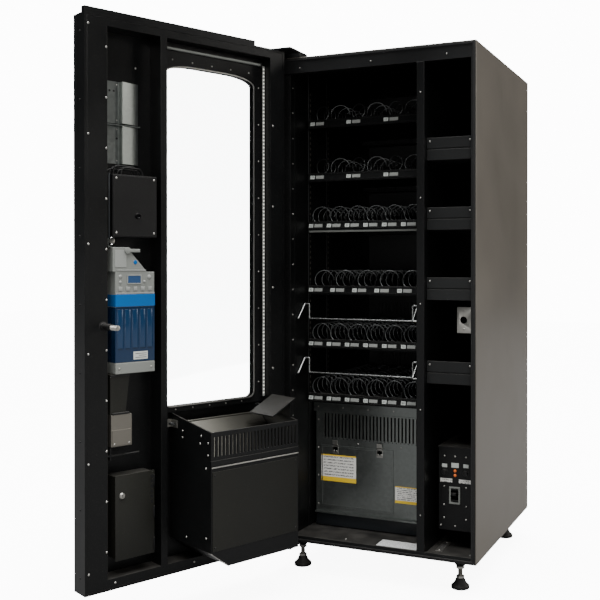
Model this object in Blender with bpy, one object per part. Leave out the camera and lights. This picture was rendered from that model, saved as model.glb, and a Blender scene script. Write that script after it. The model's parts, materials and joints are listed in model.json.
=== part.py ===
"""Snack vending machine: a steel cabinet on four levelling feet, with its door standing open.

Metres, +Z up, front towards -Y. Everything is drawn in the cabinet's own frame, with the door
closed: X runs from the hinge side to the latch side, Y from the cabinet's front edge to its
back and Z up from its underside. The door is then turned open about its pivot, and the whole
machine is moved so that the origin lies under the middle of its bounding box.
"""

import math

import bmesh
import bpy
from mathutils import Matrix, Vector

# Clearances
GAP = 0.0003  # between two pieces that touch
SLIDE_GAP = 0.004  # beside a sliding tray
TURN_GAP = 0.0015  # around a piece that turns

# Cabinet
CABINET_WIDTH = 0.737
CABINET_DEPTH = 0.760
CABINET_HEIGHT = 1.700
FOOT_HEIGHT = 0.105
SIDE_WALL = 0.018
BACK_WALL = 0.020
ROOF = 0.020
FLOOR = 0.008
HEADER_DROP = 0.035
HEADER_DEPTH = 0.030
SHEET = 0.003  # sheet metal, drawn a little thick
LINER_THICKNESS = 0.0397
RIB_HEIGHT = 0.0025
RIB_WIDTH = 0.025
RIB_SPACING = 0.155
SILL_LIP = 0.010
SILL_HEIGHT = 0.014
SILL_DEPTH = 0.170
SILL_SHEET = 0.0037
MULLION_WIDTH = 0.027
MULLION_DEPTH = 0.030
STORAGE_WIDTH = 0.1587
PARTITION_SKIN = 0.011
PARTITION_THICKNESS = 0.054
PARTITION_STEP = 0.090

# Feet
FOOT_INSET = 0.075
FOOT_SIDES = 20
FOOT_PAD_RADIUS = 0.031
FOOT_PAD_HEIGHT = 0.012
FOOT_NECK_RADIUS = 0.015
FOOT_NECK_HEIGHT = 0.032
STUD_RADIUS = 0.008
NUT_RADIUS = 0.014
NUT_HEIGHT = 0.010
BRACKET_RADIUS = 0.034
BRACKET_HEIGHT = 0.030

# Door
DOOR_OPEN = math.radians(114)
DOOR_THICKNESS = 0.070
DOOR_STANDOFF = 0.015
DOOR_RISE = 0.014
DOOR_LIFT = 0.002
DOOR_SKIN = 0.006
DOOR_FLANGE = 0.008
PIVOT_INSET = 0.022
PIN_RADIUS = 0.006
STRIP_HEIGHT = 0.016
STRIP_DEPTH = 0.020
STRIP_START = 0.125
LATCH_BAND = 0.064
MONEY_WIDTH = 0.180
POST_WIDTH = 0.023
HINGE_BAND = 0.052
TOP_BAND = 0.024
BOTTOM_BAND = 0.026
FRAME_SHEET = 0.003
HINGE_PLATE = 0.006
HINGE_ARM = 0.100
HINGE_REACH = 0.020

# Window
WINDOW_SIDE_MARGIN = 0.040
WINDOW_LATCH_MARGIN = 0.014
WINDOW_SILL = 0.520
WINDOW_HEADROOM = 0.102
WINDOW_ARCH_WIDTH = 0.110
WINDOW_ARCH_DROP = 0.030
WINDOW_LOW_CORNER = 0.022
CORNER_STEPS = 6
PANE_OVERLAP = 0.012
PANE_THICKNESS = 0.0167
RETAINER_THICKNESS = 0.004
RETAINER_DROP = 0.018
RETAINER_LAP = 0.004
LIGHT_WIDTH = 0.010
LIGHT_DEPTH = 0.012
LIGHT_MARGIN = 0.0015

# Delivery bin
BIN_HINGE_SIDE = 0.080
BIN_WIDTH = 0.337
BIN_REACH = 0.160
BIN_BOTTOM = 0.050
BIN_TOP = 0.465
BIN_TOP_AT_DOOR = 0.500
BIN_WALL = 0.005
BIN_CHAMFER_WIDTH = 0.065
BIN_CHAMFER_HEIGHT = 0.050
BIN_SLOTS = 24
BIN_SLOT_WIDTH = 0.006
BIN_SLOT_HEIGHT = 0.060
BIN_SLOT_DROP = 0.014
BIN_SLOT_MARGIN = 0.014
DEFLECTOR_LENGTH = 0.094
DEFLECTOR_RISE = 0.050
DEFLECTOR_DEPTH = 0.125
DEFLECTOR_LIFT = 0.013
DEFLECTOR_SHEET = 0.004
INNER_FLAP_DROP = 0.030
INNER_FLAP_SETBACK = 0.040
INNER_FLAP_LENGTH = 0.150
INNER_FLAP_SLOPE = math.radians(45)
INNER_FLAP_SHEET = 0.002
FLAP_BARREL = 0.004
DELIVERY_MARGIN = 0.035
DELIVERY_BOTTOM = 0.150
DELIVERY_HEIGHT = 0.195
DELIVERY_GAP = 0.003
DELIVERY_SHEET = 0.004
DELIVERY_HINGE_DROP = 0.007

# Money equipment, on the latch side of the door
MONEY_SETBACK = 0.012
VALIDATOR_BOTTOM = 1.057
VALIDATOR_HEIGHT = 0.187
VALIDATOR_WIDTH = 0.148
VALIDATOR_SIDE = 0.016
COIN_MECH_BOTTOM = 0.645
COIN_MECH_HEIGHT = 0.240
COIN_MECH_WIDTH = 0.131
COIN_MECH_SIDE = 0.024
COIN_FACE_HEIGHT = 0.067
COIN_HEAD_HEIGHT = 0.074
COIN_HEAD_TOP_WIDTH = 0.047
COIN_HEAD_WIDTH = 0.114
LEVER_LENGTH = 0.040
LEVER_WIDTH = 0.010
LEVER_SHEET = 0.006
CHUTE_BOTTOM = 0.524
CHUTE_TOP_WIDTH = 0.064
CHUTE_MOUTH_WIDTH = 0.050
CHUTE_SIDE = 0.014
CUP_WIDTH = 0.068
CUP_HEIGHT = 0.095
CUP_WALL = 0.004
CUP_MARGIN = 0.010
CASH_BOTTOM = 0.088
CASH_HEIGHT = 0.248
CASH_WIDTH = 0.124
CASH_SIDE = 0.029
CASH_WALL = 0.004
CASH_DEPTH_MARGIN = 0.0075
CASH_DOOR_LAP = 0.004
CASH_DOOR_SHEET = 0.004
CASH_HINGE = 0.002
CASH_DOOR_GAP = 0.001

# Latch and controls
LATCH_SIDE = 0.059
LATCH_SHARE = 0.46470588
BOLT_RADIUS = 0.007
BOLT_REACH = 0.075
HANDLE_HUB_RADIUS = 0.020
HANDLE_HUB_DEPTH = 0.010
HANDLE_GRIP_LENGTH = 0.110
HANDLE_GRIP_WIDTH = 0.022
HANDLE_GRIP_DEPTH = 0.012
PANEL_WIDTH = 0.140
PANEL_BOTTOM = 0.990
PANEL_HEIGHT = 0.470
PANEL_THICKNESS = 0.006
PANEL_RECESS = 0.003
DISPLAY_HEIGHT = 0.060
DISPLAY_MARGIN = 0.020
KEYPAD_HEIGHT = 0.120
BILL_SLOT_WIDTH = 0.085
BILL_SLOT_HEIGHT = 0.034
BUTTON_RADIUS = 0.010
BUTTON_LENGTH = 0.0145
BUTTON_PROUD = 0.003
STRIKE_SETBACK = 0.058
STRIKE_THICKNESS = 0.004
STRIKE_WIDTH = 0.063
STRIKE_HEIGHT = 0.086
STRIKE_LEG = 0.040
STRIKE_HOLE_RADIUS = 0.012

# Refrigeration deck
DECK_SETBACK = 0.190
DECK_TOP = 0.466
DECK_SLAB = 0.036
DECK_AIR_HOLE_DEPTH = 0.080
DECK_AIR_HOLE_MARGIN = 0.060
DECK_BACK_MARGIN = 0.005
DECK_PANEL_INSET = 0.012
PAN_HEIGHT = 0.046
GRILLE_SLOTS = 28
GRILLE_SLOT_WIDTH = 0.006
GRILLE_SLOT_HEIGHT = 0.088
GRILLE_SLOT_DROP = 0.005
GRILLE_MARGIN = 0.036
GRILLE_LIP = 0.012
GRILLE_LIP_HEIGHT = 0.006
ACCESS_BOTTOM = 0.080
ACCESS_HEIGHT = 0.228
ACCESS_WIDTH = 0.288
ACCESS_SIDE = 0.018
ACCESS_LAP = 0.010
COIL_SETBACK = 0.040
COIL_DEPTH = 0.045
COIL_HEIGHT = 0.260
COIL_MARGIN = 0.060
FAN_GAP = 0.012
FAN_RADIUS = 0.105
FAN_HUB_RADIUS = 0.028
FAN_HUB_DEPTH = 0.030
FAN_BLADES = 4
FAN_BLADE_WIDTH = 0.070
FAN_BLADE_SHEET = 0.003
FAN_BLADE_PITCH = math.radians(24)
FAN_MOTOR_GAP = 0.004
FAN_MOTOR_LENGTH = 0.045
FAN_POST_WIDTH = 0.024
COMPRESSOR_RADIUS = 0.078
COMPRESSOR_HEIGHT = 0.190
COMPRESSOR_BACK = 0.110

# Trays, from the lowest to the highest
TRAY_SETBACK = 0.135
RAIL_HEIGHT = 0.032
RAIL_DEPTH = 0.018
RAIL_SLANT = 0.006
TRAY_DECK_GAP = 0.006
PAN_RISE = 0.018
TRAY_LEVEL_SHARES = (0.0, 0.166, 0.330, 0.526, 0.674, 0.837)
TRAY_COLUMNS = (6, 6, 5, 6, 3, 3)
FINEST_COLUMNS = 6
PAN_SHEET = 0.003
DIVIDER_HEIGHT = 0.030
TRAY_BACK_MARGIN = 0.030
MOTOR_DEPTH = 0.060
MOTOR_HEIGHT = 0.075
JOIN_OVERLAP = 0.001

# Spirals
WIRE_DIAMETER = 0.0045
SPIRAL_SIDE_GAP = 0.0055
SPIRAL_PITCH = 0.058
SPIRAL_STEPS = 8
SPIRAL_LIFT = 0.002
SPIRAL_FRONT_GAP = 0.005
SPIRAL_HUB = 0.020

# Wire guards over the two lowest trays
GUARD_DROP = 0.012
GUARD_BACK = 0.052
GUARD_TOP = 0.050
GUARD_SETBACK = 0.063
GUARD_INSET = 0.018
GUARD_WIRE = 0.005
GUARD_BAR_DROP = 0.003

# Storage shelves and power box, on the latch side of the cabinet
SHELF_LEVEL_SHARES = (0.170, 0.386, 0.567, 0.747)
SHELF_HEIGHT = 0.075
SHELF_DEPTH = 0.300
SHELF_SETBACK = 0.026
SHELF_LIP = 0.004
SHELF_GROOVE = 0.004
POWER_SETBACK = 0.100
POWER_DEPTH = 0.250
POWER_BOTTOM = 0.075
POWER_HEIGHT = 0.285
POWER_WIDTH = 0.1405
POWER_WALL = 0.004
POWER_HOOD = 0.010
TOGGLE_WIDTH = 0.015
TOGGLE_HEIGHT = 0.016
TOGGLE_LENGTH = 0.018
TOGGLE_RISE = 0.007
TOGGLE_SIDE = 0.083
TOGGLE_LEVEL = 0.120
TOGGLE_CLEARANCE = 0.006

ROUND_SIDES = 16

# Finishes: linear colour, metallic, roughness
FINISHES = {
    "black_powder_coat": ((0.012, 0.013, 0.013), 0.0, 0.5),
    "warm_grey_paint": ((0.165, 0.140, 0.115), 0.0, 0.4),
    "dark_grey_paint": ((0.075, 0.075, 0.068), 0.0, 0.5),
    "galvanised_steel": ((0.42, 0.43, 0.40), 0.9, 0.4),
    "zinc_plate": ((0.55, 0.55, 0.53), 0.9, 0.3),
    "spring_wire": ((0.50, 0.50, 0.48), 0.9, 0.3),
    "black_plastic": ((0.015, 0.015, 0.016), 0.0, 0.5),
    "grey_plastic": ((0.50, 0.51, 0.47), 0.0, 0.5),
    "blue_plastic": ((0.02, 0.11, 0.30), 0.0, 0.3),
    "light_diffuser": ((0.85, 0.83, 0.75), 0.0, 0.4),
    "window_glass": ((0.80, 0.84, 0.84), 0.0, 0.05),
    "foot_rubber": ((0.02, 0.02, 0.02), 0.0, 0.8),
}

# Planes and edges that several pieces share
DOOR_BACK = -DOOR_STANDOFF
DOOR_FACE = -(DOOR_STANDOFF + DOOR_THICKNESS)
SKIN_BACK = DOOR_FACE + DOOR_SKIN
DOOR_TOP = CABINET_HEIGHT + DOOR_RISE
PIVOT = Vector((PIVOT_INSET, -(DOOR_STANDOFF + DOOR_THICKNESS / 2), 0))
RIGHT_WALL = CABINET_WIDTH - SIDE_WALL
BACK = CABINET_DEPTH - BACK_WALL
CEILING = CABINET_HEIGHT - ROOF
HEADER_BOTTOM = CEILING - HEADER_DROP
SILL_TOP = FLOOR + SILL_SHEET + GAP
LINER_FACE = SIDE_WALL + GAP + LINER_THICKNESS
STORAGE_LEFT = RIGHT_WALL - STORAGE_WIDTH
PARTITION_RIGHT = STORAGE_LEFT - SLIDE_GAP
PARTITION_LEFT = PARTITION_RIGHT - PARTITION_THICKNESS
TRAY_LEFT = LINER_FACE + RIB_HEIGHT + SLIDE_GAP
TRAY_RIGHT = PARTITION_LEFT - RIB_HEIGHT - SLIDE_GAP
TRAY_WIDTH = TRAY_RIGHT - TRAY_LEFT
TRAY_BACK = BACK - TRAY_BACK_MARGIN
MOTOR_FRONT = TRAY_BACK - MOTOR_DEPTH
FIRST_LEVEL = DECK_TOP + TRAY_DECK_GAP + RAIL_HEIGHT / 2
SPIRAL_DIAMETER = TRAY_WIDTH / FINEST_COLUMNS - SPIRAL_SIDE_GAP
FRAME_LEFT = DOOR_FLANGE + GAP
FRAME_RIGHT = CABINET_WIDTH - DOOR_FLANGE - GAP
FRAME_BOTTOM = DOOR_LIFT + DOOR_FLANGE + GAP
FRAME_TOP = DOOR_TOP - DOOR_FLANGE - GAP
MONEY_RIGHT = FRAME_RIGHT - LATCH_BAND
MONEY_LEFT = MONEY_RIGHT - MONEY_WIDTH
BAY_RIGHT = MONEY_LEFT - POST_WIDTH
BAY_LEFT = FRAME_LEFT + HINGE_BAND
BAY_TOP = FRAME_TOP - TOP_BAND
BAY_BOTTOM = FRAME_BOTTOM + BOTTOM_BAND
MONEY_BACK = SKIN_BACK + GAP
MONEY_FRONT = -MONEY_SETBACK
WINDOW_LEFT = BAY_LEFT + WINDOW_SIDE_MARGIN
WINDOW_RIGHT = BAY_RIGHT - WINDOW_LATCH_MARGIN
WINDOW_TOP = DOOR_TOP - WINDOW_HEADROOM
LATCH_HEIGHT = CABINET_HEIGHT * LATCH_SHARE
RETAINER_FRONT = SKIN_BACK + PANE_THICKNESS + 2 * GAP
BIN_LATCH_SIDE = BIN_HINGE_SIDE + BIN_WIDTH
DECK_BACK = BACK - DECK_BACK_MARGIN
DECK_UNDERSIDE = DECK_TOP - DECK_SLAB
PAN_TOP = SILL_TOP + PAN_HEIGHT
LATCH_X = CABINET_WIDTH - LATCH_SIDE


# ---------------------------------------------------------------- shapes


def cuboid(low, high):
    """A box between two corners."""
    shape = bmesh.new()
    size = Vector(high) - Vector(low)
    middle = (Vector(high) + Vector(low)) / 2
    place = Matrix.Translation(middle) @ Matrix.Diagonal((*size, 1))
    bmesh.ops.create_cube(shape, size=1, matrix=place)
    return shape


def lifted(point, axis, offset):
    """A point of an outline across an axis, at an offset along that axis."""
    across, up = point
    return {"X": (offset, across, up), "Y": (across, offset, up), "Z": (across, up, offset)}[axis]


def prism(outline, axis, start, end):
    """An outline drawn out along an axis."""
    shape = bmesh.new()
    corners = [shape.verts.new(lifted(point, axis, start)) for point in outline]
    swept = bmesh.ops.extrude_face_region(shape, geom=[shape.faces.new(corners)])
    moved = [item for item in swept["geom"] if isinstance(item, bmesh.types.BMVert)]
    bmesh.ops.translate(shape, vec=lifted((0, 0), axis, end - start), verts=moved)
    bmesh.ops.recalc_face_normals(shape, faces=shape.faces)
    return shape


def circle(centre, radius, sides=ROUND_SIDES):
    """The corners of a round outline."""
    angles = [2 * math.pi * step / sides for step in range(sides)]
    return [(centre[0] + radius * math.cos(a), centre[1] + radius * math.sin(a)) for a in angles]


def rod(centre, radius, axis, start, end, sides=ROUND_SIDES):
    """A round bar along an axis."""
    return prism(circle(centre, radius, sides), axis, start, end)


def turned(profile, centre, sides):
    """A profile of (radius, height) points turned about a vertical axis, closed on the axis."""
    shape = bmesh.new()
    line = [shape.verts.new((radius, 0, height)) for radius, height in profile]
    edges = [shape.edges.new(pair) for pair in zip(line, line[1:])]
    bmesh.ops.spin(
        shape, geom=line + edges, cent=(0, 0, 0), axis=(0, 0, 1), angle=2 * math.pi,
        steps=sides, use_merge=True,
    )
    bmesh.ops.remove_doubles(shape, verts=shape.verts, dist=0.00001)
    bmesh.ops.recalc_face_normals(shape, faces=shape.faces)
    bmesh.ops.translate(shape, vec=centre, verts=shape.verts)
    return shape


def together(shapes):
    """Several separate shapes in one mesh, for use as one cutter."""
    whole = bmesh.new()
    for shape in shapes:
        mesh = bpy.data.meshes.new("piece")
        shape.to_mesh(mesh)
        shape.free()
        whole.from_mesh(mesh)
        bpy.data.meshes.remove(mesh)
    return whole


# ---------------------------------------------------------------- objects


def finish_for(name, finish):
    """A material of the piece's own, with the colour and gloss of its finish."""
    colour, metallic, roughness = FINISHES[finish]
    material = bpy.data.materials.new(f"{name}_{finish}")
    material.use_nodes = True
    shader = material.node_tree.nodes["Principled BSDF"]
    shader.inputs["Base Color"].default_value = (*colour, 1)
    shader.inputs["Metallic"].default_value = metallic
    shader.inputs["Roughness"].default_value = roughness
    return material


def as_object(name, shape):
    """A mesh object in the scene, made from a shape."""
    mesh = bpy.data.meshes.new(name)
    shape.to_mesh(mesh)
    shape.free()
    piece = bpy.data.objects.new(name, mesh)
    bpy.context.scene.collection.objects.link(piece)
    return piece


def combine(piece, tool_shape, operation):
    """Join or cut the piece with another shape, and keep only the result."""
    tool = as_object("tool", tool_shape)
    step = piece.modifiers.new("step", "BOOLEAN")
    step.object = tool
    step.operation = operation
    step.solver = "EXACT"
    bpy.context.view_layer.update()
    graph = bpy.context.evaluated_depsgraph_get()
    result = bpy.data.meshes.new_from_object(piece.evaluated_get(graph))
    piece.modifiers.clear()
    spent = [piece.data, tool.data]
    piece.data = result
    bpy.data.objects.remove(tool)
    for mesh in spent:
        bpy.data.meshes.remove(mesh)


def hang(piece, holder, pivot):
    """Put the piece's origin on its pivot, and let the holder carry it."""
    if piece.type == "MESH":
        piece.data.transform(Matrix.Translation(-Vector(pivot)))
    piece.parent = holder
    piece.location = Vector(pivot) - Vector(holder["home"])


def part(name, finish, base, holder, add=(), cut=(), after=(), pivot=None, smooth=False):
    """One finished piece: a base shape, what is joined to it, cut from it and joined after."""
    piece = as_object(name, base)
    for shape in add:
        combine(piece, shape, "UNION")
    for shape in cut:
        combine(piece, shape, "DIFFERENCE")
    for shape in after:
        combine(piece, shape, "UNION")
    piece.data.name = name
    hang(piece, holder, holder["home"] if pivot is None else pivot)
    piece.data.materials.clear()
    piece.data.materials.append(finish_for(name, finish))
    if smooth:
        piece.data.shade_smooth()
        piece.data.set_sharp_from_angle(angle=math.radians(35))
    return piece


def wire(name, finish, points, diameter, holder, pivot):
    """A bent wire: a round bar along a line of points, closed at both ends."""
    curve = bpy.data.curves.new(name, "CURVE")
    curve.dimensions = "3D"
    curve.bevel_depth = diameter / 2
    curve.bevel_resolution = 0
    curve.use_fill_caps = True
    line = curve.splines.new("POLY")
    line.points.add(len(points) - 1)
    for node, point in zip(line.points, points):
        node.co = (*(Vector(point) - Vector(pivot)), 1)
    piece = bpy.data.objects.new(name, curve)
    bpy.context.scene.collection.objects.link(piece)
    curve.materials.append(finish_for(name, finish))
    hang(piece, holder, pivot)
    return piece


def empty(name, home, holder=None):
    """An empty that carries the pieces of one body."""
    carrier = bpy.data.objects.new(name, None)
    carrier["home"] = tuple(home)
    bpy.context.scene.collection.objects.link(carrier)
    if holder is not None:
        carrier.parent = holder
        carrier.location = Vector(home) - Vector(holder["home"])
    return carrier


# ---------------------------------------------------------------- cabinet


def build_shell(cabinet):
    """The welded case: two sides, back, roof, floor and the header over the door opening."""
    inside = [
        (-GAP - SHEET, FLOOR),
        (-GAP - SHEET, HEADER_BOTTOM),
        (HEADER_DEPTH, HEADER_BOTTOM),
        (HEADER_DEPTH, CEILING),
        (BACK, CEILING),
        (BACK, FLOOR),
    ]
    part(
        "cabinet_shell", "warm_grey_paint",
        cuboid((0, 0, 0), (CABINET_WIDTH, CABINET_DEPTH, CABINET_HEIGHT)), cabinet,
        cut=[prism(inside, "X", SIDE_WALL, RIGHT_WALL)],
    )


def ribbed(face, towards, low, high):
    """The outline of a liner's inner face, with its two raised and slotted tray columns."""
    outline = [(face, low)]
    for column in (TRAY_SETBACK + RAIL_DEPTH, TRAY_SETBACK + RAIL_DEPTH + RIB_SPACING):
        outline.append((face, column))
        outline.append((face + towards * RIB_HEIGHT, column))
        outline.append((face + towards * RIB_HEIGHT, column + RIB_WIDTH))
        outline.append((face, column + RIB_WIDTH))
    outline.append((face, high))
    return outline


def build_linings(cabinet):
    """The insulated liner, the partition beside the trays, the mullion and the floor sill."""
    back = BACK - GAP
    left = SIDE_WALL + GAP
    front = SILL_LIP + 2 * GAP
    liner = [(left, front)] + ribbed(LINER_FACE, 1, front, back) + [(left, back)]
    part(
        "left_liner", "black_powder_coat", prism(liner, "Z", SILL_TOP, CEILING - GAP), cabinet,
        cut=[cuboid((0, 0, HEADER_BOTTOM - GAP), (CABINET_WIDTH, HEADER_DEPTH + GAP, CEILING))],
    )
    front = MULLION_DEPTH + 2 * GAP
    web = PARTITION_RIGHT - PARTITION_SKIN
    wall = [(PARTITION_RIGHT, back), (PARTITION_RIGHT, front), (web, front), (web, PARTITION_STEP)]
    wall += ribbed(PARTITION_LEFT, -1, PARTITION_STEP, back)
    part(
        "partition_wall", "black_powder_coat", prism(wall, "Z", SILL_TOP, CEILING - GAP), cabinet,
    )
    right = PARTITION_RIGHT + SLIDE_GAP
    left = right - MULLION_WIDTH
    channel = [
        (left, 0),
        (right, 0),
        (right, MULLION_DEPTH),
        (right - SHEET, MULLION_DEPTH),
        (right - SHEET, SHEET),
        (left + SHEET, SHEET),
        (left + SHEET, MULLION_DEPTH),
        (left, MULLION_DEPTH),
    ]
    part(
        "mullion_post", "black_powder_coat",
        prism(channel, "Z", FLOOR + SILL_HEIGHT + 2 * GAP, HEADER_BOTTOM - GAP), cabinet,
    )
    base = FLOOR + GAP
    sill = [
        (0, base),
        (0, base + SILL_HEIGHT),
        (SILL_LIP, base + SILL_HEIGHT),
        (SILL_LIP, base + SILL_SHEET - GAP),
        (SILL_DEPTH, base + SILL_SHEET - GAP),
        (SILL_DEPTH, base),
    ]
    part(
        "floor_sill", "black_powder_coat",
        prism(sill, "X", SIDE_WALL + GAP, RIGHT_WALL - GAP), cabinet,
    )


def build_feet(cabinet):
    """Four levelling feet: a rubber pad on a stud, with its nuts and its bracket."""
    top = -GAP
    pad = -FOOT_HEIGHT
    bracket = top - BRACKET_HEIGHT
    neck = pad + FOOT_NECK_HEIGHT
    profile = [
        (0, pad),
        (FOOT_PAD_RADIUS, pad),
        (FOOT_PAD_RADIUS, pad + FOOT_PAD_HEIGHT),
        (FOOT_NECK_RADIUS, neck),
        (STUD_RADIUS, neck),
        (STUD_RADIUS, bracket - NUT_HEIGHT),
        (NUT_RADIUS, bracket - NUT_HEIGHT),
        (NUT_RADIUS, bracket),
        (BRACKET_RADIUS, top),
        (0, top),
    ]
    for side, x in (("left", FOOT_INSET), ("right", CABINET_WIDTH - FOOT_INSET)):
        for end, y in (("front", FOOT_INSET), ("rear", CABINET_DEPTH - FOOT_INSET)):
            part(
                f"foot_{end}_{side}", "foot_rubber", turned(profile, (x, y, 0), FOOT_SIDES),
                cabinet, smooth=True,
            )


def build_hinge_plates(cabinet):
    """The two plates whose pins carry the door."""
    arm_low = DOOR_TOP + TURN_GAP
    reach = PIVOT.y - HINGE_REACH
    foot = 2 * HEADER_DEPTH
    pin = (PIVOT.x, PIVOT.y)
    part(
        "top_hinge_plate", "black_powder_coat",
        cuboid((0, reach, arm_low), (HINGE_ARM, foot, arm_low + HINGE_PLATE)), cabinet,
        add=[
            cuboid((0, GAP, CABINET_HEIGHT + GAP), (HINGE_ARM, foot, arm_low + GAP)),
            rod(pin, PIN_RADIUS, "Z", DOOR_TOP - DOOR_FLANGE, arm_low + HINGE_PLATE / 2),
        ],
    )
    low = -GAP - HINGE_PLATE
    part(
        "bottom_hinge_plate", "black_powder_coat",
        cuboid((0, reach, low), (HINGE_ARM, HEADER_DEPTH, -GAP)), cabinet,
        add=[rod(pin, PIN_RADIUS, "Z", low + GAP, DOOR_LIFT + DOOR_FLANGE - GAP)],
    )


def build_deck(cabinet):
    """The refrigeration unit under the trays, behind its grille and access panel."""
    left = LINER_FACE + RIB_HEIGHT + GAP
    right = PARTITION_LEFT - RIB_HEIGHT - GAP
    hole_back = DECK_BACK - DECK_AIR_HOLE_DEPTH / 2
    hole_left = left + DECK_AIR_HOLE_MARGIN
    hole_right = right - DECK_AIR_HOLE_MARGIN
    part(
        "evaporator_housing", "galvanised_steel",
        cuboid((left, DECK_SETBACK, DECK_UNDERSIDE + GAP), (right, DECK_BACK, DECK_TOP)), cabinet,
        cut=[cuboid((hole_left, hole_back - DECK_AIR_HOLE_DEPTH, 0), (hole_right, hole_back, 1))],
    )
    left += DECK_PANEL_INSET
    plate_back = DECK_SETBACK + SHEET
    slot_top = DECK_UNDERSIDE - GRILLE_SLOT_DROP
    first = left + GRILLE_MARGIN
    pitch = (right - GRILLE_MARGIN / 2 - first) / (GRILLE_SLOTS - 1)
    slots = [
        cuboid(
            (first + step * pitch - GRILLE_SLOT_WIDTH / 2, 0, slot_top - GRILLE_SLOT_HEIGHT),
            (first + step * pitch + GRILLE_SLOT_WIDTH / 2, 1, slot_top),
        )
        for step in range(GRILLE_SLOTS)
    ]
    access_left = left + ACCESS_SIDE
    access_right = access_left + ACCESS_WIDTH
    access_top = ACCESS_BOTTOM + ACCESS_HEIGHT
    opening = cuboid(
        (access_left + ACCESS_LAP, 0, ACCESS_BOTTOM + ACCESS_LAP),
        (access_right - ACCESS_LAP, 1, access_top - ACCESS_LAP),
    )
    lip = cuboid(
        (left, DECK_SETBACK - GRILLE_LIP, PAN_TOP + GAP),
        (right, plate_back, PAN_TOP + GRILLE_LIP_HEIGHT),
    )
    part(
        "deck_grille_panel", "galvanised_steel",
        cuboid((left, DECK_SETBACK, PAN_TOP + GAP), (right, plate_back, DECK_UNDERSIDE)), cabinet,
        add=[lip], cut=[together(slots + [opening])],
    )
    part(
        "deck_access_panel", "galvanised_steel",
        cuboid(
            (access_left, DECK_SETBACK - GAP - SHEET, ACCESS_BOTTOM),
            (access_right, DECK_SETBACK - GAP, access_top),
        ),
        cabinet,
    )
    inner = (left + SHEET, plate_back + GAP, SILL_TOP + SHEET)
    coil_front = DECK_SETBACK + COIL_SETBACK
    coil = cuboid(
        (left + COIL_MARGIN, coil_front, SILL_TOP + GAP),
        (right - COIL_MARGIN, coil_front + COIL_DEPTH, SILL_TOP + COIL_HEIGHT),
    )
    middle = (left + right) / 2
    compressor = rod(
        (middle, DECK_BACK - COMPRESSOR_BACK), COMPRESSOR_RADIUS, "Z", SILL_TOP + GAP,
        SILL_TOP + COMPRESSOR_HEIGHT, FOOT_SIDES,
    )
    fan_front = coil_front + COIL_DEPTH + FAN_GAP
    fan_level = SILL_TOP + COIL_HEIGHT / 2
    motor_front = fan_front + FAN_HUB_DEPTH + FAN_MOTOR_GAP
    motor_back = motor_front + FAN_MOTOR_LENGTH
    motor = rod((middle, fan_level), FAN_HUB_RADIUS, "Y", motor_front, motor_back)
    post = cuboid(
        (middle - FAN_POST_WIDTH / 2, motor_front + SHEET, SILL_TOP + GAP),
        (middle + FAN_POST_WIDTH / 2, motor_back - SHEET, fan_level),
    )
    part(
        "condensing_unit", "black_powder_coat",
        cuboid((left, DECK_SETBACK, SILL_TOP), (right, DECK_BACK, PAN_TOP)), cabinet,
        cut=[cuboid(inner, (right - SHEET, DECK_BACK - SHEET, PAN_TOP + SHEET))],
        after=[coil, compressor, post, motor],
    )
    build_fan(cabinet, middle, fan_front, fan_level)


def build_fan(cabinet, x, front, z):
    """The condenser fan: a hub and its pitched blades, turning on the line of its shaft."""
    blades = []
    middle = front + FAN_HUB_DEPTH / 2
    for number in range(FAN_BLADES):
        blade = cuboid(
            (0, -FAN_BLADE_SHEET / 2, -FAN_BLADE_WIDTH / 2),
            (FAN_RADIUS, FAN_BLADE_SHEET / 2, FAN_BLADE_WIDTH / 2),
        )
        turn = Matrix.Rotation(2 * math.pi * number / FAN_BLADES, 4, "Y")
        pitch = Matrix.Rotation(FAN_BLADE_PITCH, 4, "X")
        bmesh.ops.transform(
            blade, matrix=Matrix.Translation((x, middle, z)) @ turn @ pitch, verts=blade.verts
        )
        blades.append(blade)
    part(
        "condenser_fan", "black_plastic",
        rod((x, z), FAN_HUB_RADIUS, "Y", front, front + FAN_HUB_DEPTH), cabinet,
        add=blades, pivot=(x, middle, z), smooth=True,
    )


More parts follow.
